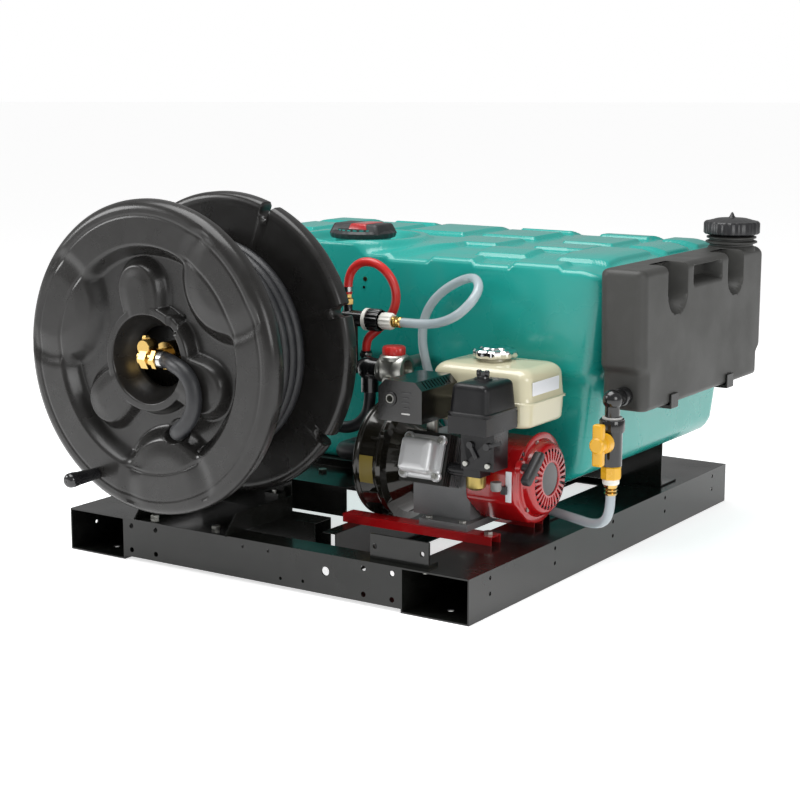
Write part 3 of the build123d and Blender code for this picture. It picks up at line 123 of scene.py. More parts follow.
def finish(name, colour, smooth, rough, metal=0.0, coat=0.0, grain=0.0, scale=60.0, wear=0.3, **extra):
    """A finish: a colour that lightens where it is worn, a roughness that wanders between smooth and rough,
    and a grain of that depth in mm."""
    material = bpy.data.materials.new(name)
    material.use_nodes = True
    tree = material.node_tree
    shader = set_inputs(tree.nodes["Principled BSDF"], Base_Color=colour, Metallic=metal, Coat_Weight=coat,
                        Coat_Roughness=0.08, **extra)
    worn = tuple(0.9 * c + 0.035 for c in colour[:3]) + (1.0,)
    used = tree.nodes.new("ShaderNodeGroup")
    used.node_tree = skin
    set_inputs(used, Colour=colour, Worn=worn, Scale=scale, Smoothest=smooth, Roughest=rough, Wear=wear)
    tree.links.new(used.outputs["Base"], shader.inputs["Base Color"])
    tree.links.new(used.outputs["Roughness"], shader.inputs["Roughness"])
    if grain:
        bump = set_inputs(tree.nodes.new("ShaderNodeBump"), Distance=grain * MM)
        tree.links.new(used.outputs["Grain"], bump.inputs["Height"])
        tree.links.new(bump.outputs["Normal"], shader.inputs["Normal"])
    return material


def hose(name, node, route, diameter, material, body="skid"):
    """A NURBS curve through the hose's run points, in mm, round in section; it stands for its CAD node."""
    curve = bpy.data.curves.new(name, "CURVE")
    curve.dimensions = "3D"
    curve.bevel_depth = diameter / 2 * MM
    curve.bevel_resolution = 6
    curve.resolution_u = 10
    curve.use_fill_caps = True
    line = curve.splines.new("NURBS")
    line.points.add(len(route) - 1)
    for point, (x, y, z) in zip(line.points, route):
        point.co = (x * MM, y * MM, z * MM, 1)
    line.order_u = 3
    line.use_endpoint_u = True
    piece = bpy.data.objects.new(name, curve)
    scene.collection.objects.link(piece)
    curve.materials.append(material)
    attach(piece, body)
    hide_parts(node)


clear_vinyl = finish("clear_vinyl", linear(190, 200, 206), 0.1, 0.2, coat=0.8, Alpha=0.66)
red_rubber = finish("red_rubber", linear(196, 38, 34), 0.28, 0.4, coat=0.2)
black_rubber = finish("black_rubber", linear(30, 31, 34), 0.32, 0.5, grain=0.3, scale=400)
JUMPER = [(-184, -654, 451), (-162, -654, 451), (-127, -681, 451), (-91, -687, 439), (-70, -688, 409),
          (-69, -688, 371), (-85, -688, 339), (-113, -687, 319), (-133, -666, 309), (-133, -627.5, 309)]
FEED = [(600, -215, 190), (600, -215, 160), (586, -210, 131), (552, -196, 119), (506, -176, 119), (450, -158, 121),
        (390, -146, 126), (326, -144, 136), (266, -140, 156), (216, -130, 192), (184, -127, 238), (162, -129, 290),
        (146, -145, 340), (132, -158, 392), (120, -160, 444), (120, -156, 494), (140, -152, 536), (176, -148, 568),
        (222, -152, 590), (262, -176, 596), (290, -208, 580), (290, -240, 554), (260, -250, 524), (216, -246, 506),
        (172, -242, 500), (123, -242, 500)]
DOSING = [(-14, -242, 550), (-14, -242, 574), (-6, -240, 602), (20, -237, 622), (56, -231, 618), (84, -223, 590),
          (92, -215, 556), (82, -207, 522), (60, -205, 492), (36, -212, 470), (21, -225, 454), (21, -225, 430)]
DELIVERY = [(42, -242, 346), (42, -242, 316), (26, -239, 284), (-6, -240, 262), (-46, -248, 262), (-86, -262, 284),
            (-120, -276, 318), (-150, -284, 360), (-176, -286, 403), (-196, -292, 435), (-204, -316, 451),
            (-204, -349, 451)]
hose("jumper_tube", "jumper_hose", JUMPER, 32, black_rubber, body="reel")
hose("feed_tube", "feed_hose", FEED, 20, clear_vinyl)
hose("dosing_tube", "dosing_hose", DOSING, 19, red_rubber)
hose("delivery_tube", "delivery_hose", DELIVERY, 26, black_rubber)

# ---- floor and lights ----
# A pale floor that fades into a white backdrop, under three soft boxes: overhead, left and right.
floor_mesh = bpy.data.meshes.new("floor")
floor_mesh.from_pydata([(-40, -40, 0), (40, -40, 0), (40, 40, 0), (-40, 40, 0)], [], [(0, 1, 2, 3)])
floor = bpy.data.objects.new("floor", floor_mesh)
scene.collection.objects.link(floor)
floor.location.z = -0.0005
floor_mesh.materials.append(finish("pale_floor", (0.85, 0.85, 0.85, 1), 0.7, 0.8, wear=0.0,
                                   Emission_Color=(1, 1, 1, 1), Emission_Strength=0.66))
world = bpy.data.worlds.new("studio")
scene.world = world
world.use_nodes = True
studio = world.node_tree
sky = set_inputs(studio.nodes["Background"], Strength=0.36, Color=(1, 1, 1, 1))
backdrop = set_inputs(studio.nodes.new("ShaderNodeBackground"), Strength=1.0, Color=(1, 1, 1, 1))
seen, either = studio.nodes.new("ShaderNodeLightPath"), studio.nodes.new("ShaderNodeMixShader")
for start, end in ((seen.outputs["Is Camera Ray"], either.inputs[0]), (sky.outputs[0], either.inputs[1]),
                   (backdrop.outputs[0], either.inputs[2]),
                   (either.outputs[0], studio.nodes["World Output"].inputs["Surface"])):
    studio.links.new(start, end)
scene.view_settings.view_transform = "Standard"


def soft_box(name, place, aim, size, power):
    """A square area light at a place, in metres, that faces aim."""
    lamp = bpy.data.objects.new(name, bpy.data.lights.new(name, "AREA"))
    lamp.data.size, lamp.data.energy = size, power
    lamp.location = place
    lamp.rotation_mode = "QUATERNION"
    lamp.rotation_quaternion = (Vector(aim) - Vector(place)).to_track_quat("-Z", "Y")
    scene.collection.objects.link(lamp)


soft_box("overhead", (-0.3, -0.6, 3.0), (0, -0.1, 0.3), 2.2, 78)
soft_box("left_bank", (-2.6, -2.2, 1.7), (-0.1, -0.4, 0.4), 1.3, 48)
soft_box("right_bank", (3.2, -1.4, 1.6), (0.2, 0, 0.4), 1.5, 32)


# ---- skid ----
# Fork channels, crossmembers, bearers, shelf and stand are folded from steel sheet, welded and powder coated
# in gloss black. The two red rails under the engine are bolted on, as is everything that stands on them.
body_of = {name: body for body, names in frame["record"]["behaviour"]["bodies"].items() for name in names}
SHARP = math.radians(32)


def dress(names, material, bevel=1.0):
    """Copies of CAD nodes with their flat faces joined and their sharp edges rounded by bevel, in mm; each
    copy stands for its node and rides on the node's body."""
    for name in names:
        mesh = nodes[name].data.copy()
        work = bmesh.new()
        work.from_mesh(mesh)
        bmesh.ops.remove_doubles(work, verts=work.verts, dist=0.00002)
        bmesh.ops.dissolve_limit(work, angle_limit=math.radians(1.5), verts=work.verts, edges=work.edges)
        work.to_mesh(mesh)
        work.free()
        mesh.materials.clear()
        mesh.materials.append(material)
        mesh.shade_smooth()
        mesh.set_sharp_from_angle(angle=SHARP)
        piece = bpy.data.objects.new(name + "_finished", mesh)
        scene.collection.objects.link(piece)
        edge = piece.modifiers.new("edge", "BEVEL")
        edge.width = bevel * MM
        edge.segments = 2
        edge.limit_method = "ANGLE"
        edge.angle_limit = SHARP
        edge.harden_normals = True
        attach(piece, body_of[name])
        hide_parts(name)


gunmetal = finish("gunmetal_powder", linear(20, 21, 19), 0.16, 0.28, coat=0.2, grain=0.05, scale=300, wear=0.12,
                  Specular_IOR_Level=0.3)
dress(["left_channel", "right_channel", "front_crossmember", "rear_crossmember", "tank_bearers", "cross_bearers",
       "front_shelf", "lift_bracket", "reel_stand", "tank_hooks"], gunmetal, bevel=1.2)
signal_red = finish("signal_red", linear(168, 15, 20), 0.16, 0.28, coat=0.6, wear=0.06)
dress(["engine_rails"], signal_red)
zinc = finish("zinc_plate", linear(176, 176, 170), 0.28, 0.45, metal=1.0)
dress(["fasteners", "crankshaft", "flywheel", "lock_pin", "muffler"], zinc, bevel=0.5)


# ---- reel ----
# Two rotomoulded plastic discs on a drum, which turn on the hollow spindle of the stand. Four layers of rubber
# hose are wound between them, and a brass swivel in the hub feeds the hose through a short jumper.
MERGE = 0.002


def mesh_piece(name, points, faces, body, material, angle=38, stands_for=(), slot=None):
    """A mesh from points in mm: doubles merged, faces outward, smooth except past that angle."""
    mesh = bpy.data.meshes.new(name)
    mesh.from_pydata((np.asarray(points, float) * MM).tolist(), [], faces)
    work = bmesh.new()
    work.from_mesh(mesh)
    bmesh.ops.remove_doubles(work, verts=work.verts, dist=MERGE * MM)
    bmesh.ops.dissolve_degenerate(work, edges=work.edges, dist=1e-7)
    bmesh.ops.recalc_face_normals(work, faces=work.faces)
    work.to_mesh(mesh)
    work.free()
    mesh.shade_smooth()
    mesh.set_sharp_from_angle(angle=math.radians(angle))
    piece = bpy.data.objects.new(name, mesh)
    scene.collection.objects.link(piece)
    for coat in material if isinstance(material, (list, tuple)) else [material]:
        mesh.materials.append(coat)
    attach(piece, body)
    if stands_for:
        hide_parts(*stands_for)
    return piece


def net(rows, columns, wrap_rows=False):
    """The quads of a grid of points stored row by row. Each row closes on itself, and so may each column."""
    row = np.arange(rows if wrap_rows else rows - 1)[:, None]
    column = np.arange(columns)[None, :]
    right, below = (column + 1) % columns, (row + 1) % rows
    quads = np.stack(np.broadcast_arrays(row * columns + column, row * columns + right,
                                         below * columns + right, below * columns + column), -1)
    return quads.reshape(-1, 4).tolist()


def step(value, low, high):
    """0 below low, 1 above high, and a smooth S between them."""
    share = np.clip((value - low) / (high - low), 0, 1)
    return share * share * (3 - 2 * share)


def soften(outline, radius, points):
    """A closed outline with each corner replaced by a curve that starts radius before it and ends radius after."""
    corner = np.asarray(outline, float)
    back, on = np.roll(corner, 1, 0) - corner, np.roll(corner, -1, 0) - corner
    lengths = np.linalg.norm(back, axis=1, keepdims=True), np.linalg.norm(on, axis=1, keepdims=True)
    reach = np.minimum(radius, 0.45 * np.minimum(*lengths))
    first, last = corner + back / lengths[0] * reach, corner + on / lengths[1] * reach
    t = np.linspace(0, 1, points)[None, :, None]
    curve = (1 - t) ** 2 * first[:, None] + 2 * t * (1 - t) * corner[:, None] + t**2 * last[:, None]
    return curve.reshape(-1, 2)


def placed(axis, first, second, along, ring_a, ring_b):
    """Points on rings about an axis: ring_a and ring_b are offsets on the other two axes, in X, Y, Z order."""
    a, b, h = np.broadcast_arrays(first + ring_a, second + ring_b, along)
    order = {"X": (h, a, b), "Y": (a, h, b), "Z": (a, b, h)}[axis]
    return np.stack(order, -1).reshape(-1, 3)


def lathe(name, profile, axis, first, second, body, material, around=64, flutes=0, depth=0.0, soft=0.0, **how):
    """A turned piece: the closed profile of (radius, place) revolved; flutes ripple the radius by depth mm."""
    profile = soften(profile, soft, 4) if soft else np.asarray(profile, float)
    angle = np.linspace(0, 2 * np.pi, around, endpoint=False)[None, :]
    ripple = depth * (0.5 + 0.5 * np.cos(flutes * angle)) if flutes else 0.0
    radius = np.maximum(profile[:, :1] - ripple * (profile[:, :1] > 0.6 * profile[:, 0].max()), 0)
    points = placed(axis, first, second, profile[:, 1:], radius * np.cos(angle), radius * np.sin(angle))
    return mesh_piece(name, points, net(len(profile), around, wrap_rows=True), body, material, **how)


reel_plastic = finish("reel_plastic", linear(31, 30, 29), 0.22, 0.34, coat=0.1, grain=0.1, scale=500, wear=0.14,
                      Specular_IOR_Level=0.4)
REEL_X, REEL_Z = -204.0, 451.0
DISC_FRONT, RECESS = -675.0, 33.0
THIRD = 120
TONGUE_START, TONGUE_END, LENS_CENTRE, LENS_RADIUS = 60, 142, 264, 98


def front_disc_depth(r, t):
    """How far the front face lies behind its rim line: a dished recess with three tongues out of the hub,
    three pillowed lenses that run in from the rim, a rounded hub lip, and a slot for the hose's end."""
    x, z = r * np.cos(t), r * np.sin(t)
    dish = 1 - step(r, 204, 232)
    plateau = np.zeros_like(r)
    sink = np.zeros_like(r)
    for number in range(3):
        way = math.radians(100 + THIRD * number)
        along = np.clip(x * math.cos(way) + z * math.sin(way), TONGUE_START, TONGUE_END)
        reach = np.hypot(x - along * math.cos(way), z - along * math.sin(way)) / (1 + 0.1 * step(along, 80, 135))
        tongue = 1 - step(reach, 40, 60)
        plateau = np.maximum(plateau, tongue * (0.94 - 0.10 * step(reach, 16, 42)))
        way = math.radians(160 + THIRD * number)
        reach = np.hypot(x - LENS_CENTRE * math.cos(way), z - LENS_CENTRE * math.sin(way))
        lens = 1 - step(reach, LENS_RADIUS, LENS_RADIUS + 32)
        plateau = np.maximum(plateau, lens)
        sink = np.maximum(sink, 5.5 * lens * step(reach, 60, 112) + 1.6 * lens * np.exp(-((r - 231) / 3.2) ** 2))
    plateau = np.maximum(plateau, 0.9 * (1 - step(np.abs(r - 96), 7, 20)))
    depth = RECESS * dish * (1 - plateau) + sink + 1.5 * np.exp(-((r - 287) / 2.0) ** 2)
    tab = (1 - step(np.abs(x - 66), 9, 14)) * (1 - step(np.abs(z - 74), 12, 19)) * (r > 88)
    slot = 1 - step(np.hypot((x - 60) * 0.8, z + 138), 19, 28)
    return np.where(slot > 0, np.maximum(depth, slot * 37.5), depth + 8 * tab)


AROUND_DISC = 300
angle = np.linspace(0, 2 * np.pi, AROUND_DISC, endpoint=False)[None, :]
radii = np.concatenate([[88.5, 89.5], np.linspace(91, 240, 84), np.linspace(242, 300, 26)])[:, None]
face_y = DISC_FRONT + front_disc_depth(np.broadcast_to(radii, (len(radii), AROUND_DISC)), angle)
face_y[0] += 5.0
face_y[1] += 1.5
rim = np.array([(305, 1.8), (310, 5.0), (314, 9.5), (317, 15.5), (318, 22), (318, 33), (316.5, 37), (313, 39.5),
                (306, 40), (112, 40), (96, 40), (78, 44), (64, 56), (62, 58), (62, 54), (66, 48), (76, 36),
                (84, 22), (87, 12)])
rim_y = np.broadcast_to(DISC_FRONT + rim[:, 1:], (len(rim), AROUND_DISC))
radii = np.concatenate([radii, rim[:, :1]])
points = placed("Y", REEL_X, REEL_Z, np.concatenate([face_y, rim_y]), radii * np.cos(angle), radii * np.sin(angle))
mesh_piece("front_flange", points, net(len(radii), AROUND_DISC, wrap_rows=True), "reel", reel_plastic, angle=50,
           stands_for=["front_disc"], slot="reel_plastic")

NOTCHES, FIRST_NOTCH, EDGE = 7, 17, 318
notches = [math.radians(FIRST_NOTCH + 360 / NOTCHES * k) for k in range(NOTCHES)]
outline = []
for at in notches:
    local = [(EDGE * math.cos(a), EDGE * math.sin(a)) for a in (-0.056, -0.046)]
    local += [(314, -11.5), (303, -11), *[(303 - 11 * math.cos(a), 11 * math.sin(a)) for a in np.linspace(
        -math.pi / 2, math.pi / 2, 9)], (303, 11), (314, 11.5)]
    local += [(EDGE * math.cos(a), EDGE * math.sin(a)) for a in (0.046, 0.056)]
    outline += [(x * math.cos(at) - z * math.sin(at), x * math.sin(at) + z * math.cos(at)) for x, z in local]
    outline += [(EDGE * math.cos(at + a), EDGE * math.sin(at + a))
                for a in np.linspace(0.08, 2 * math.pi / NOTCHES - 0.08, 26)]
outline = np.array(outline)
edge_r, edge_t = np.hypot(*outline.T)[None, :], np.arctan2(outline[:, 1], outline[:, 0])[None, :]
section = np.array([(0.0, 0.5), (0.86, 0.5), (0.885, -1.5), (0.93, -3), (0.97, -1.5), (0.99, 3), (1.0, 9),
                    (1.0, 26), (0.99, 32), (0.97, 35), (0.0, 35)])
share, back = section[:, :1], section[:, 1:]
DRUM, REAR_FACE = 121, -424
radii = DRUM + share * (edge_r - DRUM)
points = placed("Y", REEL_X, REEL_Z, REAR_FACE + back, radii * np.cos(edge_t), radii * np.sin(edge_t))
mesh_piece("rear_flange", points, net(len(section), outline.shape[0], wrap_rows=True), "reel", reel_plastic,
           angle=42, stands_for=["rear_disc"], slot="reel_plastic")
dress(["reel_drum"], reel_plastic, bevel=1.5)


def tube_along(path, radius, sides):
    """Rings of points round a path: each ring stands square to the path's local direction."""
    way = np.gradient(path, axis=0)
    way /= np.linalg.norm(way, axis=1, keepdims=True)
    side = np.cross(way, [0.0, 1.0, 0.0])
    side /= np.linalg.norm(side, axis=1, keepdims=True)
    over = np.cross(side, way)
    a = np.linspace(0, 2 * np.pi, sides, endpoint=False)
    ring = side[:, None] * np.cos(a)[None, :, None] + over[:, None] * np.sin(a)[None, :, None]
    return (path[:, None] + radius * ring).reshape(-1, 3)


wound_rubber = finish("wound_rubber", linear(26, 27, 30), 0.34, 0.5, coat=0.1, grain=0.6, scale=900)
TURNS, LAYERS, HOSE_SIDES = 7, 4, 10
INNER_LAYER, LAYER_STEP, HOSE_RADIUS = 134.2, 27.6, 13.9
DISC_BACK, HOSE_SPACE, END_GAP = -627.5, 196, 14.2
turns = np.linspace(0, TURNS * 2 * np.pi, TURNS * 72)
coil_points, coil_faces = [], []
for layer in range(LAYERS):
    across_reel = DISC_BACK + END_GAP + (HOSE_SPACE - 2 * END_GAP) * turns / turns[-1]
    across_reel = across_reel if layer % 2 == 0 else across_reel[::-1]
    reach = INNER_LAYER + layer * LAYER_STEP
    spin = turns + layer * 1.3 - 1.1
    path = np.stack([REEL_X + reach * np.cos(spin), across_reel, REEL_Z + reach * np.sin(spin)], -1)
    start = len(coil_points) * len(turns) * HOSE_SIDES
    end = start + (len(turns) - 1) * HOSE_SIDES
    coil_points.append(tube_along(path, HOSE_RADIUS, HOSE_SIDES))
    coil_faces += (np.array(net(len(turns), HOSE_SIDES)) + start).tolist()
    coil_faces += [[start + k for k in range(HOSE_SIDES)], [end + k for k in reversed(range(HOSE_SIDES))]]
mesh_piece("hose_winding", np.concatenate(coil_points), coil_faces, "reel", wound_rubber, angle=60,
           stands_for=["wound_hose"], slot="black_rubber")

brass = finish("machined_brass", linear(206, 172, 104), 0.16, 0.3, metal=1.0)
dress(["reel_swivel"], brass, bevel=0.8)
for place, radius, sides, low, high in (("nut_a", 23, 6, -223, -205), ("nut_b", 21, 6, -195, -185)):
    lathe("swivel_" + place, [(0, low), (radius, low), (radius, high), (0, high)], "X", -654, REEL_Z, "reel", brass,
          around=sides, angle=20)
lathe("swivel_elbow", [(0, -668), (15, -668), (17, -664), (17, -640), (0, -640)], "Y", REEL_X - 11, REEL_Z + 22,
      "reel", brass, around=24)
lathe("swivel_bleed", [(0, 470), (9, 470), (9, 492), (6, 496), (0, 496)], "Z", REEL_X - 17, -650, "reel", brass,
      around=6, angle=20)
clamp_steel = finish("clamp_steel", linear(190, 190, 188), 0.2, 0.34, metal=1.0)
lathe("jumper_clamp", [(16.2, -181), (17.4, -181), (17.4, -169), (16.2, -169)], "X", -654, REEL_Z, "reel",
      clamp_steel)

gloss_black = finish("gloss_black", linear(20, 20, 22), 0.12, 0.22, coat=0.4)
GRIP_X, GRIP_Z = REEL_X - 137.7, REEL_Z - 248.4
lathe("crank_handle", [(5.05, -675.5), (12, -675.5), (12.5, -690), (14, -730), (15.5, -745), (15, -757),
                       (10, -763.5), (0, -765), (0, -755), (5.05, -755)], "Y", GRIP_X, GRIP_Z, "grip",
      gloss_black, around=40, soft=3, stands_for=["crank_grip"], slot="black_plastic")
lathe("crank_stud", [(0, -754), (5, -754), (5, -678), (9, -677), (9, -670), (0, -670)], "Y", GRIP_X, GRIP_Z, "reel",
      zinc, around=24)

# ---- water tank ----
# One rotomoulded teal shell that sits in its bearers. Raised pads stiffen its crowned top, a groove and a waist
# run round it, and a sunken ring holds the filler.
TANK_MIDDLE, TANK_HALF_LENGTH, TANK_HALF_WIDTH = 205.0, 335.0, 535.0
TANK_FLOOR, TANK_CORNER, TOP_EDGE, FILLER_X = 158.0, 36, 13, -140


def ring_of(half_x, half_y, corner, along_x, along_y, at_corner):
    """Rounded rectangles, one per row, each with the same count of points on its sides and corners."""
    a, b = np.atleast_1d(half_x)[:, None], np.atleast_1d(half_y)[:, None]
    r = np.minimum(np.atleast_1d(corner)[:, None], np.minimum(a, b))
    u, v = np.linspace(-1, 1, along_x, endpoint=False)[None], np.linspace(-1, 1, along_y, endpoint=False)[None]
    q = np.linspace(0, np.pi / 2, at_corner, endpoint=False)[None]
    ones = np.ones_like
    xs = [a * ones(v), a - r + r * np.cos(q), -u * (a - r), -(a - r) - r * np.sin(q), -a * ones(v),
          -(a - r) - r * np.cos(q), u * (a - r), a - r + r * np.sin(q)]
    ys = [v * (b - r), b - r + r * np.sin(q), b * ones(u), b - r + r * np.cos(q), -v * (b - r),
          -(b - r) - r * np.sin(q), -b * ones(u), -(b - r) - r * np.cos(q)]
    return np.concatenate(xs, 1), np.concatenate(ys, 1)


def pad(x, y, x0, x1, y0, y1, edge=3.8):
    """1 inside a rectangle and 0 outside it, with a soft border."""
    return (step(x, x0 - edge, x0 + edge) * (1 - step(x, x1 - edge, x1 + edge))
            * step(y, y0 - edge, y0 + edge) * (1 - step(y, y1 - edge, y1 + edge)))


PADS = [(117, 225, -150, -78), (317, 430, -150, -78), (190, 312, -58, 22), (385, 505, -58, 140), (30, 170, 62, 190),
        (262, 385, 62, 152), (432, 520, 180, 300), (262, 385, 195, 330), (30, 170, 235, 370), (262, 385, 375, 560),
        (432, 520, 345, 470), (30, 170, 415, 560), (-170, -20, 235, 560), (-330, -210, 235, 370),
        (-505, -385, -58, 100), (-505, -385, 145, 290), (-330, -210, 415, 560), (-505, -385, 335, 470),
        (-500, -390, -150, -100)]


def tank_top(x, y):
    """Height of the tank's top: a crowned sheet that falls at its edges, with raised pads and the filler's ring
    and well."""
    height = 634 - 14 * (1 - step(y, -130, 10)) - 28 * (1 - step(540 - y, 0, 140)) - 10 * (
        1 - step(TANK_HALF_WIDTH - np.abs(x), 0, 60))
    raised = np.zeros_like(height)
    for x0, x1, y0, y1 in PADS:
        raised = np.maximum(raised, pad(x, y, x0, x1, y0, y1))
    edge_x = 10 + np.clip(y + 130, 0, 150) * 0.55
    plateau = (1 - step(x, edge_x - 5, edge_x + 5)) * step(x, -345, -335) * (1 - step(y, 130, 142))
    height = height + 8 * np.maximum(raised, plateau)
    reach = np.hypot(x - FILLER_X, y)
    rim = step(reach, 112, 128) * (1 - step(reach, 143, 160))
    height = height + rim * (650 - height)
    return height - (1 - step(reach, 112, 128)) * (height - 630)


side = np.linspace(0, 1, 46)[:, None]
shoulder = np.linspace(0, np.pi / 2, 9)[1:]
inset = np.concatenate([np.linspace(334, 12, 12), 12 * (1 - np.sin(np.linspace(0, np.pi / 2, 5)[1:])), np.zeros(46),
                        TOP_EDGE * (1 - np.cos(shoulder)), np.linspace(15, 334.9, 112)])
kind = np.concatenate([np.zeros(12), np.ones(4), np.full(46, 2), np.full(8, 3), np.full(112, 4)])
ring_x, ring_y = ring_of(TANK_HALF_WIDTH - inset, TANK_HALF_LENGTH - inset,
                         np.clip(TANK_CORNER - inset, 2, TANK_CORNER), 140, 90, 9)
top = tank_top(ring_x, ring_y + TANK_MIDDLE) - TOP_EDGE
height = np.where((kind == 0)[:, None], TANK_FLOOR, np.zeros_like(top))
height[kind == 1] = TANK_FLOOR + 12 * (1 - np.cos(np.linspace(0, np.pi / 2, 5)[1:]))[:, None]
height[kind == 2] = 170 + side * (top[kind == 2] - 170)
height[kind == 3] = top[kind == 3] + TOP_EDGE * np.sin(shoulder)[:, None]
height[kind == 4] = top[kind == 4] + TOP_EDGE
low = np.clip(height, TANK_FLOOR, 600)
half_width = np.where(low < 191, 412 + (low - TANK_FLOOR) * 1.9, 0) + np.where(
    (low >= 191) & (low < 214), 475 + (low - 191) * 0.6, 0) + np.where(low >= 214, 488.8 + (low - 214) * 0.134, 0)
half_width = np.minimum(half_width, TANK_HALF_WIDTH)
groove = 5 * np.exp(-((height - 396) / 7) ** 2)
waist = 17.5 * (1 - step(height, 383, 401))
around_x = ring_x * np.clip(half_width - groove, 0, None) / TANK_HALF_WIDTH
near_front = step(-ring_y, 250, TANK_HALF_LENGTH - TANK_CORNER)
around_y = ring_y + (waist + groove) * near_front - groove * step(ring_y, 250, 289)
tank_points = np.stack([around_x, around_y + TANK_MIDDLE, height], -1)
teal = finish("teal_rotomould", linear(26, 154, 144), 0.22, 0.34, coat=0.3, grain=0.12, scale=250, wear=0.12)
mesh_piece("tank_shell", tank_points.reshape(-1, 3), net(*ring_x.shape), "skid", teal, angle=60,
           stands_for=["water_tank"], slot="teal_plastic")
lathe("tank_neck", [(52, 624), (62, 624), (62, 646), (58, 647), (58, 664), (52, 664)], "Z", FILLER_X, 0, "skid",
      teal)
lathe("tank_spigot", [(14, -128), (24, -128), (24, -116), (14, -116)], "Y", -70, 196, "skid", teal, around=40)
lathe("brass_insert", [(0, -131.2), (5, -131.2), (5.5, -126), (0, -126)], "Y", -46, 568.7, "skid", brass, around=24)
# The insert's bore is a black disc on its face: painted shade standing for the dark inside the hole.
lathe("insert_bore_shade", [(0, -131.6), (2.4, -131.6), (2.4, -127), (0, -127)], "Y", -45, 569, "skid", gloss_black,
      around=16)
lathe("vent_pin", [(0, -131.4), (3, -131.4), (3, -126), (0, -126)], "Y", -49, 550.4, "skid", gloss_black, around=16)

# The filler's screw lid is black, with a red bar across it and a grip on each side.
satin_black = finish("satin_black", linear(34, 34, 36), 0.3, 0.45, grain=0.1, scale=300)
lathe("filler_lid", [(58.6, 645), (72, 645), (74, 648), (74, 656), (68, 661), (0, 662), (0, 668), (58.6, 664.6)],
      "Z", FILLER_X, 0, "water_lid", satin_black, around=96, flutes=24, depth=1.6, stands_for=["tank_lid"],
      slot="black_plastic")


def brick(name, low, high, body, material, corner=4.0, edge=2.0, axis="Z", taper=0.0, **how):
    """A block with rounded corners round its axis and rounded edges at both ends; taper shrinks its far end."""
    turned = {"X": (1, 2, 0), "Y": (0, 2, 1), "Z": (0, 1, 2)}[axis]
    lo, hi = np.array(low, float)[list(turned)], np.array(high, float)[list(turned)]
    half, centre = (hi - lo) / 2, (hi + lo) / 2
    bend = np.linspace(0, np.pi / 2, 4)
    across, up, centre_line = edge * (1 - np.sin(bend)), edge * (1 - np.cos(bend)), [min(half[0], half[1])]
    deep = np.concatenate([centre_line, across, across[::-1], centre_line])
    along = np.concatenate([[lo[2]], lo[2] + up, hi[2] - up[::-1], [hi[2]]])
    lean = taper * (along - lo[2]) / (hi[2] - lo[2])
    xs, ys = ring_of(half[0] - deep - lean * (deep < half[0]), half[1] - deep - lean * (deep < half[1]),
                     np.clip(corner - deep, 0.3, None), 2, 2, 5)
    points = placed(axis, centre[0], centre[1], along[:, None], xs, ys)
    return mesh_piece(name, points, net(*xs.shape), body, material, **how)


brick("lid_grip", (-208, -44, 652), (-72, 44, 676), "water_lid", satin_black, corner=10, edge=4, taper=9)
brick("lid_band", (-158, -46, 652), (-100, 46, 677.2), "water_lid", signal_red, corner=3, edge=4, taper=9)

# ---- side tank ----
# A grey rotomoulded can for detergent, held to the water tank's right side by two steel hooks below. Two strap
# notches and a finger recess are moulded into its outer face, and its neck has a ribbed screw cap.
SIDE_NECK = (595, 355)
SIDE_GROOVES, GRIP_SPAN = ((-22.0, 43.0, 537.0), (268.0, 38.0, 546.0)), (55.0, 192.0)


def side_tank(points):
    """Presses the strap grooves and the finger recess into the outer face: x is held back inside each shape."""
    x, y, z = points[..., 0].copy(), points[..., 1], points[..., 2]
    held = np.zeros_like(x)
    for middle, width, floor_z in SIDE_GROOVES:
        gap = np.hypot(y - middle, z - np.maximum(z, floor_z + width)) - width
        held = np.maximum(held, (1 - step(gap, -5, 4)) * 1.35)
    held = np.maximum(held, pad(y, z, *GRIP_SPAN, 588, 620, edge=4.5))
    x = x - held * np.clip(x - 605, 0, None)
    return np.stack([x, y, z], -1)


bottom, crown = np.linspace(0, np.pi / 2, 6), np.linspace(0, np.pi / 2, 9)
inset = np.concatenate([np.linspace(49.9, 10, 10), 10 * (1 - np.sin(bottom[1:])), np.zeros(60),
                        14 * (1 - np.cos(crown[1:])), np.linspace(15, 49.9, 16)])
height = np.concatenate([np.full(10, 350.0), 350 + 10 * (1 - np.cos(bottom[1:])), np.linspace(362, 620, 60),
                         620 + 14 * np.sin(crown[1:]), np.full(16, 634.0)])
ring_x, ring_y = ring_of(50 - inset, 302.5 - inset, np.clip(20 - inset, 1, 20), 30, 190, 7)
setback = 13 * (1 - step(height, 424, 442))[:, None]
lean = 6 * (1 - step(height, 430, 640))[:, None]
ring_y = ring_y + 122.5
ring_y = ring_y + (setback + lean) * (1 - step(ring_y, -160, -60)) - (
    22 * (1 - step(height, 399, 418))[:, None]) * step(ring_y, 380, 424)
rear_fall = 10 * step(ring_y, 395, 425) * step(height, 580, 634)[:, None]
points = np.stack([595 + ring_x, ring_y, np.broadcast_to(height[:, None], ring_x.shape) - rear_fall], -1)
side_grey = finish("side_tank_grey", linear(60, 60, 58), 0.38, 0.5, grain=0.2, scale=350, wear=0.2,
                   Specular_IOR_Level=0.35)
mesh_piece("side_tank_shell", side_tank(points).reshape(-1, 3), net(*ring_x.shape), "skid", side_grey, angle=60,
           stands_for=["chemical_tank"], slot="grey_plastic")
lathe("side_tank_neck", [(39, 626), (52, 626), (51, 634), (47, 638), (47, 641), (56, 644), (56, 647), (48, 650),
                         (48, 652), (54, 654), (54, 657), (44, 660), (39, 660)], "Z", *SIDE_NECK, "skid", side_grey)
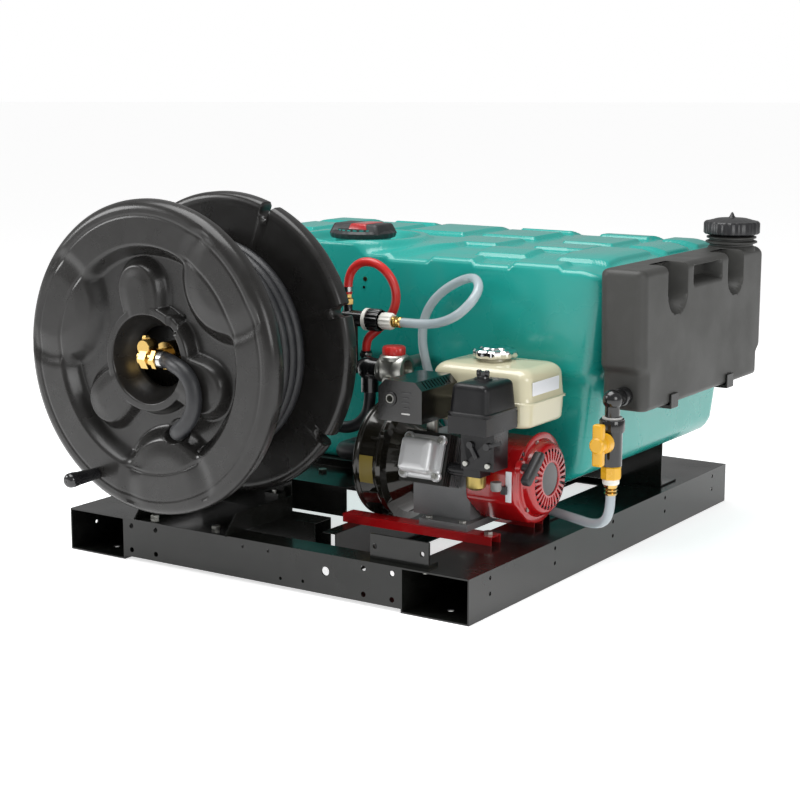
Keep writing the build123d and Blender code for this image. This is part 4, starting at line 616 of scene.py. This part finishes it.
lathe("side_tank_cap", [(44.6, 662.7), (58, 662.7), (61, 665), (61, 686), (58, 690), (48, 692), (34, 696), (0, 699),
                        (0, 672), (44.6, 672)], "Z", *SIDE_NECK, "chemical_lid", satin_black, around=144, flutes=24,
      depth=1.6, stands_for=["chemical_cap"], slot="black_plastic")
lathe("side_cap_vent", [(0, 697), (9, 697), (5, 702), (2.5, 708), (0, 710)], "Z", *SIDE_NECK, "chemical_lid",
      satin_black, around=20)
brick("side_tank_seam", (598, -175.5, 505), (600, -173, 600), "skid", side_grey, corner=0.8, edge=0.5)

# ---- dosing valve ----
# A black plastic elbow screwed into the side tank, a ball valve with a yellow lever, and below it a union with
# a brass tail for the clear hose.
VALVE_X, VALVE_Y, LEVER_Z = 600, -215, 300
fitting_black = finish("fitting_black", linear(17, 17, 18), 0.16, 0.28, coat=0.4, wear=0.1)
dress(["outlet_elbow", "valve_body"], fitting_black, bevel=0.8)
lathe("outlet_flange", [(0, -184), (17, -184), (18.5, -181), (18.5, -164), (0, -164)], "Y", VALVE_X, 382, "skid",
      fitting_black, around=48)
lathe("valve_collar", [(10, 318), (24, 318), (25.5, 322), (25.5, 341), (23, 344.4), (10, 344.4)], "Z", VALVE_X,
      VALVE_Y, "skid", fitting_black, around=72, flutes=24, depth=1.0)
lathe("valve_ring", [(15.1, 344.5), (20, 344.5), (20, 348), (15.1, 348)], "Z", VALVE_X, VALVE_Y, "skid",
      finish("pale_ring", linear(190, 190, 188), 0.3, 0.4), around=48)
lever_yellow = finish("lever_yellow", linear(222, 166, 18), 0.28, 0.4, coat=0.2)
brick("lever_bar", (589, -280, 258), (611, -263, 342), "dosing_valve_lever", lever_yellow, corner=5, edge=4,
      axis="Y", stands_for=["valve_handle"], slot="yellow_plastic")
lathe("lever_hub", [(0, -283), (13, -283), (16, -280), (16, -262), (20, -260), (20, -243), (0, -243)], "Y",
      VALVE_X, LEVER_Z, "dosing_valve_lever", lever_yellow, around=48)
lathe("lever_stem", [(0, -244), (6, -244), (6, -216), (0, -216)], "Y", VALVE_X, LEVER_Z, "dosing_valve_lever",
      clamp_steel, around=24)
nut_yellow = finish("nut_yellow", linear(224, 170, 30), 0.25, 0.36, coat=0.2)
lathe("union_nut", [(8, 223), (19, 223), (21, 225.5), (21, 247), (19, 249.8), (8, 249.8)], "Z", VALVE_X, VALVE_Y,
      "skid", nut_yellow, around=8, angle=20, stands_for=["valve_union"], slot="brass")
nylon = finish("white_nylon", linear(226, 224, 216), 0.35, 0.48)
lathe("union_ring", [(8, 212), (15.5, 212), (17, 214), (17, 222.8), (8, 222.8)], "Z", VALVE_X, VALVE_Y, "skid",
      nylon, around=48)
lathe("union_tail", [(6, 190), (11, 190), (13.5, 194), (10.5, 196), (13.5, 201), (10.5, 203), (13.5, 208),
                     (13.5, 212), (6, 212)], "Z", VALVE_X, VALVE_Y, "skid", brass, around=40)

# ---- pump ----
# A black cast volute with rolled rims, bolted to a bell on the engine's flange. Water comes in at its eye and
# leaves through the neck on top.
pump_black = finish("pump_black", linear(30, 28, 22), 0.08, 0.18, metal=0.4, coat=0.5, wear=0.08)
CRANK_Y, CRANK_Z, TEE_X = -242.0, 212.0, 103
lathe("pump_casing", [(0, 78), (40, 77), (96, 82), (112, 84), (119, 80), (124, 82), (124, 88), (119, 92),
                      (119, 132), (124, 136), (124, 142), (108, 142), (106, 141), (106, 86), (0, 86)], "X",
      CRANK_Y, CRANK_Z, "skid", pump_black, around=128, soft=3, stands_for=["pump_volute"], slot="pump_black")
lathe("pump_inlet", [(17, 47), (26, 47), (28, 50), (28, 58), (24, 62), (26, 80), (17, 84)], "X", CRANK_Y, CRANK_Z,
      "skid", pump_black, around=48)
lathe("pump_outlet", [(15, 318), (30, 318), (24, 334), (23, 350), (27, 354), (27, 366), (15, 366)], "Z", TEE_X,
      CRANK_Y, "skid", pump_black, around=48)
dress(["pump_bell"], pump_black, bevel=1.5)
for number, (tilt, reach) in enumerate(((58, 60), (24, 52), (-30, 46))):
    lean = math.radians(90 + tilt)
    rib = brick(f"pump_rib_{number}", (118, -2, 119), (140, 2, 127), "skid", pump_black, corner=1, edge=1)
    rib.data.transform(Matrix.Translation((0, CRANK_Y * MM, CRANK_Z * MM)) @ Matrix.Rotation(lean, 4, "X"))
label_yellow = finish("plain_yellow_label", linear(120, 104, 34), 0.4, 0.5)


def wrapped_label(name, radius, x0, x1, from_deg, to_deg, material):
    """A thin sticker that follows a cylinder about the crank axis, between two angles."""
    rows = 14
    way = np.radians(np.linspace(from_deg, to_deg, rows))[:, None, None]
    x = np.array([x0, x1])[None, :, None]
    r = np.array([radius, radius + 0.4])[None, None, :]
    shape = np.broadcast_arrays(x, CRANK_Y + r * np.cos(way), CRANK_Z + r * np.sin(way))
    grid = np.stack(shape, -1)[:, [0, 1, 1, 0], [0, 0, 1, 1]]
    ends = [[0, 1, 2, 3], [4 * rows - 4 + k for k in range(4)]]
    return mesh_piece(name, grid.reshape(-1, 3), net(rows, 4) + ends, "skid", material)


wrapped_label("pump_label", 119.2, 95, 128, 168, 196, label_yellow)
dress(["pump_impeller"], brass, bevel=0.5)
dress(["suction_pipe"], black_rubber, bevel=0.5)

# ---- manifold and inductor ----
# A zinc-plated tee screwed to the pump's neck, with a red priming cap, carries a black elbow. The plastic
# inductor stands on a riser behind it and takes in detergent from the clear hose.
INDUCTOR_Z = 500
dress(["manifold_tee"], zinc)
dress(["manifold_elbow", "inductor"], fitting_black)
lathe("tee_collar", [(20, 372), (26, 372), (26, 384), (20, 384)], "Z", TEE_X, CRANK_Y, "skid", zinc, around=8,
      angle=20)
lathe("tee_cross", [(20.5, 76), (27, 76), (29, 80), (29, 86), (26, 90), (26, 112), (30, 116), (30, 132), (27, 136),
                    (20.5, 136)], "X", CRANK_Y, 402, "skid", zinc, around=48)
lathe("tee_crown", [(18, 420), (30, 420), (30, 428), (27, 431), (18, 431)], "Z", TEE_X, CRANK_Y, "skid", zinc,
      around=48)
lathe("tee_union", [(15, 70), (25, 70), (26, 73), (26, 84), (15, 84)], "X", CRANK_Y, 396, "skid", zinc, around=48)
lathe("prime_knob", [(17.6, 431), (24, 431), (25, 434), (25, 445), (22, 449), (8, 451), (0, 451), (0, 439),
                     (17.6, 439)], "Z", TEE_X, CRANK_Y, "prime_cap", red_rubber, around=72, flutes=12, depth=1.4,
      stands_for=["priming_cap"], slot="red_hose")
lathe("column_clamp", [(12.2, 418), (14, 418), (14, 426), (12.2, 426)], "Z", 21, -225, "skid", clamp_steel,
      around=40)
lathe("riser_clamp", [(9.8, 556), (11.2, 556), (11.2, 566), (9.8, 566)], "Z", -14, CRANK_Y, "skid", clamp_steel,
      around=40)
lathe("inductor_ring", [(15, 33), (23.5, 33), (23.5, 41), (15, 41)], "X", CRANK_Y, INDUCTOR_Z, "skid", nylon,
      around=48)
lathe("inductor_nut", [(15, 43), (23.5, 43), (24, 46), (24, 68), (22, 72), (15, 72)], "X", CRANK_Y, INDUCTOR_Z,
      "skid", fitting_black, around=96, flutes=16, depth=1.6)
lathe("inductor_port", [(0, -262), (6, -262), (7, -258), (7, -250), (0, -250)], "Y", 4, INDUCTOR_Z, "skid",
      red_rubber, around=24)
lathe("tail_nut", [(5, 72), (16, 72), (18, 76), (18, 97), (16, 101), (5, 101)], "X", CRANK_Y, INDUCTOR_Z, "skid",
      nylon, around=72, flutes=12, depth=1.6, stands_for=["inductor_tails"], slot="brass")
lathe("tail_brass", [(5, 100), (12, 100), (12, 107), (9, 109), (12, 113), (9, 116), (12, 120), (11, 123), (5, 123)],
      "X", CRANK_Y, INDUCTOR_Z, "skid", brass, around=40)
lathe("riser_nut", [(4, 529), (13, 529), (13, 540), (9, 543), (9, 550), (4, 550)], "Z", -14, CRANK_Y, "skid", brass,
      around=6, angle=20)

# ---- engine block ----
# A grey cast crankcase on four feet, with a finned cylinder leant well forward. The silver rocker cover is
# held on its head by four bolts.
cast_grey = finish("cast_grey", linear(122, 123, 124), 0.36, 0.5, metal=0.3, grain=0.5, scale=260)
cast_dark = finish("cast_dark", linear(52, 52, 50), 0.36, 0.52, metal=0.6, grain=0.4, scale=260)
dress(["crankcase"], cast_grey, bevel=1.5)
dress(["cylinder_head"], cast_dark, bevel=0.6)
silver = finish("silver_enamel", linear(206, 207, 208), 0.3, 0.42, metal=0.5, coat=0.2, grain=0.1, scale=300)
barrel = Matrix.Translation((267 * MM, CRANK_Y * MM, CRANK_Z * MM)) @ Matrix.Rotation(math.radians(72), 4, "X")
bend = np.linspace(0, np.pi / 2, 8)
inset = np.concatenate([[44.0, 0, 0, 6, 9], [9.0], 9 + 13 * (1 - np.cos(bend[1:])), np.linspace(24, 43.9, 6)])
height = np.concatenate([[146.0, 146, 152, 152, 154], [176.0], 176 + 13 * np.sin(bend[1:]), np.full(6, 189.6)])
xs, ys = ring_of(46 - inset, 44 - inset, np.clip(20 - inset, 2, 20), 6, 6, 8)
cover = mesh_piece("rocker_lid", np.stack([xs, ys, np.broadcast_to(height[:, None], xs.shape)], -1).reshape(-1, 3),
                   net(*xs.shape), "skid", silver, angle=40, stands_for=["rocker_cover"], slot="silver_paint")
cover.data.transform(barrel)
for number, (x, y) in enumerate(((-38, -36), (38, -36), (38, 36), (-38, 36))):
    ear = lathe(f"rocker_ear_{number}", [(0, 147), (11, 147), (11, 154), (9, 156), (0, 156)], "Z", x, y, "skid",
                silver, around=28)
    ear.data.transform(barrel)
    head_bolt = lathe(f"rocker_bolt_{number}", [(0, 155), (6.5, 155), (6.5, 160), (5.5, 161.5), (0, 161.5)], "Z",
                      x, y, "skid", zinc, around=6, angle=20)
    head_bolt.data.transform(barrel)

# ---- muffler guard ----
# Pressed sheet in heat-proof black round the muffler, with a round outlet, louvres and small slots.
heat_black = finish("heat_black", linear(8, 7, 6), 0.14, 0.26, coat=0.2, grain=0.15, scale=300, wear=0.08)
dress(["muffler_guard"], heat_black)
lathe("exhaust_lip", [(10, -453), (14, -453), (15, -451), (15, -449), (10, -449)], "Y", 232, 383, "skid",
      heat_black, around=40)
for number, (x, z, wide) in enumerate(((258, 396, 22), (262, 386, 12), (258, 376, 18), (264, 366, 12),
                                       (258, 354, 20))):
    brick(f"guard_slot_{number}", (x, -451, z), (x + wide, -448, z + 3), "skid", clamp_steel if number == 4 else
          gloss_black, corner=1.2, edge=0.4, axis="Y")

# ---- air cleaner ----
# A black moulded cover, held by a wing knob over a pleated element, on a duct screwed to the carburettor. The
# throttle and choke levers stand out beside it, and the float bowl hangs below.
KNOB = (401, -379)
moulded_black = finish("moulded_black", linear(17, 17, 19), 0.26, 0.38, coat=0.1, grain=0.15, scale=400, wear=0.1,
                       Specular_IOR_Level=0.3)
dress(["air_cleaner_base", "carburettor", "air_filter"], moulded_black, bevel=2.0)
bend = np.linspace(0, np.pi / 2, 8)
inset = np.concatenate([[43.0, 0, 0, -1.5, -1.5, 0, 2], 2 + 4 * np.linspace(0.2, 1, 5),
                        6 + 11 * (1 - np.cos(bend[1:])), np.linspace(20, 43, 5)])
height = np.concatenate([[362.0, 362, 364, 365, 368, 369, 370], np.linspace(378, 413, 5),
                         413 + 12 * np.sin(bend[1:]), np.linspace(425.4, 428, 5)])
xs, ys = ring_of(45.5 - inset, 62.5 - inset, np.clip(15 - inset * 0.5, 3, 15), 8, 8, 7)
points = placed("Z", 401.5, -379.5, height[:, None], xs, ys)
mesh_piece("cleaner_cover", points, net(*xs.shape), "skid", moulded_black, angle=40,
           stands_for=["air_cleaner_cover"], slot="black_plastic")
lathe("cover_boss", [(4, 425), (20, 425), (17, 430), (4, 430)], "Z", *KNOB, "skid", moulded_black, around=40)
lathe("wing_hub", [(3.05, 430.3), (13, 430.3), (12, 434), (7, 436), (7, 443), (3.05, 443)], "Z", *KNOB,
      "cover_knob", gloss_black, around=36, stands_for=["wing_knob"], slot="black_plastic")
for number, x in enumerate((388, 406)):
    brick(f"wing_{number}", (x - 1, -383, 433), (x + 9, -375, 446), "cover_knob", gloss_black, corner=3, edge=3)
for name, x in (("left", 378), ("right", 428)):
    lathe(f"duct_screw_{name}", [(0, -408), (5, -408), (6, -406), (6, -401), (0, -401)], "Y", x, 262, "skid", zinc,
          around=24)
dress(["throttle_lever", "choke_lever", "stop_switch"], satin_black, bevel=0.6)
lathe("sediment_cup", [(0, 208), (9, 208), (11, 212), (11, 226), (0, 226)], "Z", 432, -378, "skid",
      finish("cup_grey", linear(128, 128, 126), 0.35, 0.45, metal=0.3), around=36)
brass_pale = finish("bowl_yellow", linear(170, 150, 86), 0.25, 0.4, metal=0.8)
lathe("float_bowl", [(0, 204), (12, 204), (19, 209), (20, 214), (20, 232), (0, 232)], "Z", 383, -372, "skid",
      brass_pale, around=48)

# ---- fuel tank ----
# Two pressed steel shells seamed together and enamelled cream, with a chrome filler cap and a plain label.
FUEL_CAP = (342, -232)
cream = finish("cream_enamel", linear(206, 200, 170), 0.16, 0.26, coat=0.5)
low_bend, top_bend = np.linspace(0, np.pi / 2, 6), np.linspace(0, np.pi / 2, 12)
inset = np.concatenate([np.linspace(85, 16, 5), 16 - 10 * np.sin(low_bend[1:]), [4.5, 4, 0, 0, 3.5, 4, 5, 7],
                        7 + 26 * (1 - np.cos(top_bend[1:])), np.linspace(36, 85.4, 12)])
height = np.concatenate([np.full(5, 320.0), 320 + 10 * (1 - np.cos(low_bend[1:])),
                         [352, 367.5, 368.5, 371.5, 373, 374, 384, 414], 414 + 24 * np.sin(top_bend[1:]),
                         np.linspace(438.4, 444, 12)])
xs, ys = ring_of(120 - inset, 85.5 - inset, np.clip(26 - inset * 0.3, 6, 26), 16, 12, 10)
points = placed("Z", 348, -229.5, height[:, None], xs, ys)
mesh_piece("fuel_shell", points, net(*xs.shape), "skid", cream, angle=50, stands_for=["fuel_tank"],
           slot="cream_paint")
lathe("fuel_neck", [(26, 435), (34, 435), (30, 446), (30, 455), (26, 455)], "Z", *FUEL_CAP, "skid", cream,
      around=48)
chrome = finish("polished_chrome", linear(222, 222, 222), 0.04, 0.1, metal=1.0)
lathe("chrome_cap", [(30.6, 447.4), (44, 447.4), (46, 450), (46, 460), (43, 463), (33, 464), (29, 467.5),
                     (0, 468.5), (0, 456), (30.6, 456)], "Z", *FUEL_CAP, "fuel_filler_cap", chrome, around=120,
      flutes=8, depth=4.0, stands_for=["fuel_cap"], slot="chrome")
label_white = finish("plain_white_label", linear(226, 228, 232), 0.3, 0.4)
brick("fuel_label", (462.2, -292, 386), (463.9, -184, 413), "skid", label_white, corner=2, edge=0.5, axis="X")

# ---- fan shroud and starter ----
# Red pressed steel over the flywheel fan. The recoil starter's cover is bolted to it, slotted round the middle,
# and its black grip rests in a guide on the rim.
shroud_outline = [(-343, 240), (-300, 284), (-205, 288), (-160, 262), (-148, 212), (-160, 158), (-200, 124),
                  (-284, 124), (-343, 176)]


def plate(name, outline, start, end, body, material, corner=16.0, edge=6.0, **how):
    """A closed outline in Y and Z carried along X, with rounded corners and rounded rims at both ends."""
    shape = soften(outline, corner, 7)
    middle = shape.mean(0)
    out = shape - middle
    size = np.linalg.norm(out, axis=1, keepdims=True)
    bend = np.linspace(0, np.pi / 2, 5)
    across, up = edge * (1 - np.sin(bend)), edge * (1 - np.cos(bend))
    deep = np.concatenate([[size.max()], across, across[::-1], [size.max()]])
    along = np.concatenate([[start], start + up, end - up[::-1], [end]])
    keep = np.clip(1 - deep[:, None, None] / size[None], 0, 1)
    ring = middle + out[None] * keep
    points = placed("X", 0, 0, along[:, None], ring[..., 0], ring[..., 1])
    return mesh_piece(name, points, net(len(deep), len(shape)), body, material, **how)


plate("shroud_shell", shroud_outline, 341, 455, "skid", signal_red, corner=9, edge=5, stands_for=["fan_shroud"],
      slot="red_paint")
AROUND_DOME, SLOTS = 252, 28
angle = np.linspace(0, 2 * np.pi, AROUND_DOME, endpoint=False)[None, :]
dome = np.array([(0, 478), (30, 478), (33, 477.6), (34, 479.6), (36, 480), (38, 480), (41, 480), (45, 480),
                 (50, 480), (55, 479.6), (59, 479.2), (61, 478.8), (63, 478.4), (66, 477.6), (70, 475.6),
                 (73, 472), (75, 466), (77, 459), (80, 456.5), (90, 456), (92, 455), (92, 452), (0, 452)])
radius = np.broadcast_to(dome[:, :1], (len(dome), AROUND_DOME))
slot_share = (np.abs((angle * SLOTS / (2 * np.pi)) % 1 - 0.5) < 0.24) & (radius > 39.5) & (radius < 62)
along = np.broadcast_to(dome[:, 1:], (len(dome), AROUND_DOME)) - 5.0 * slot_share
points = placed("X", CRANK_Y, CRANK_Z, along, radius * np.cos(angle), radius * np.sin(angle))
starter = mesh_piece("starter_cover", points, net(len(dome), AROUND_DOME, wrap_rows=True), "skid",
                     [signal_red, gloss_black], angle=30, stands_for=["recoil_cover"], slot="red_paint")
# The recessed slot floors get the black coat: painted shade standing for the dark inside the slots. The centre disc
# is black as well.
for face in starter.data.polygons:
    middle = face.center
    reach = math.hypot(middle.y - CRANK_Y * MM, middle.z - CRANK_Z * MM)
    if reach < 0.0325 or (0.039 < reach < 0.063 and middle.x < 0.4772):
        face.material_index = 1
PULL = (-328, 250)
bar = brick("pull_bar", (476, -10, -40), (496, 10, 40), "pull_grip", satin_black, corner=8, edge=5, axis="X",
            stands_for=["starter_handle"], slot="black_plastic")
bar.data.transform(Matrix.Translation((0, PULL[0] * MM, PULL[1] * MM)) @ Matrix.Rotation(math.radians(-50), 4, "X"))
lathe("pull_stem", [(0, 464.5), (8, 464.5), (8, 480), (0, 480)], "X", *PULL, "pull_grip", satin_black, around=28)
lathe("pull_guide", [(0, 454), (14, 454), (13, 464), (0, 464)], "X", *PULL, "skid", signal_red, around=36)
# The shroud's vent slots are thin black patches on its face: painted shade standing for the dark openings.
for number, (y, z) in enumerate(((-314, 276), (-302, 276), (-290, 276), (-322, 266), (-310, 266))):
    brick(f"vent_slot_shade_{number}", (454, y, z - 8), (456.2, y + 7, z), "skid", gloss_black, corner=1.5, edge=0.6,
          axis="X")
for number, (y, z) in enumerate(((-298, 158), (-190, 150), (-164, 236), (-262, 286))):
    lathe(f"cover_bolt_{number}", [(0, 455), (6, 455), (6, 460), (0, 460)], "X", y, z, "skid", zinc, around=6,
          angle=20)
brick("shroud_label", (434, -344.2, 179), (447, -342.2, 241), "skid", label_white, corner=1, edge=0.4, axis="Y")
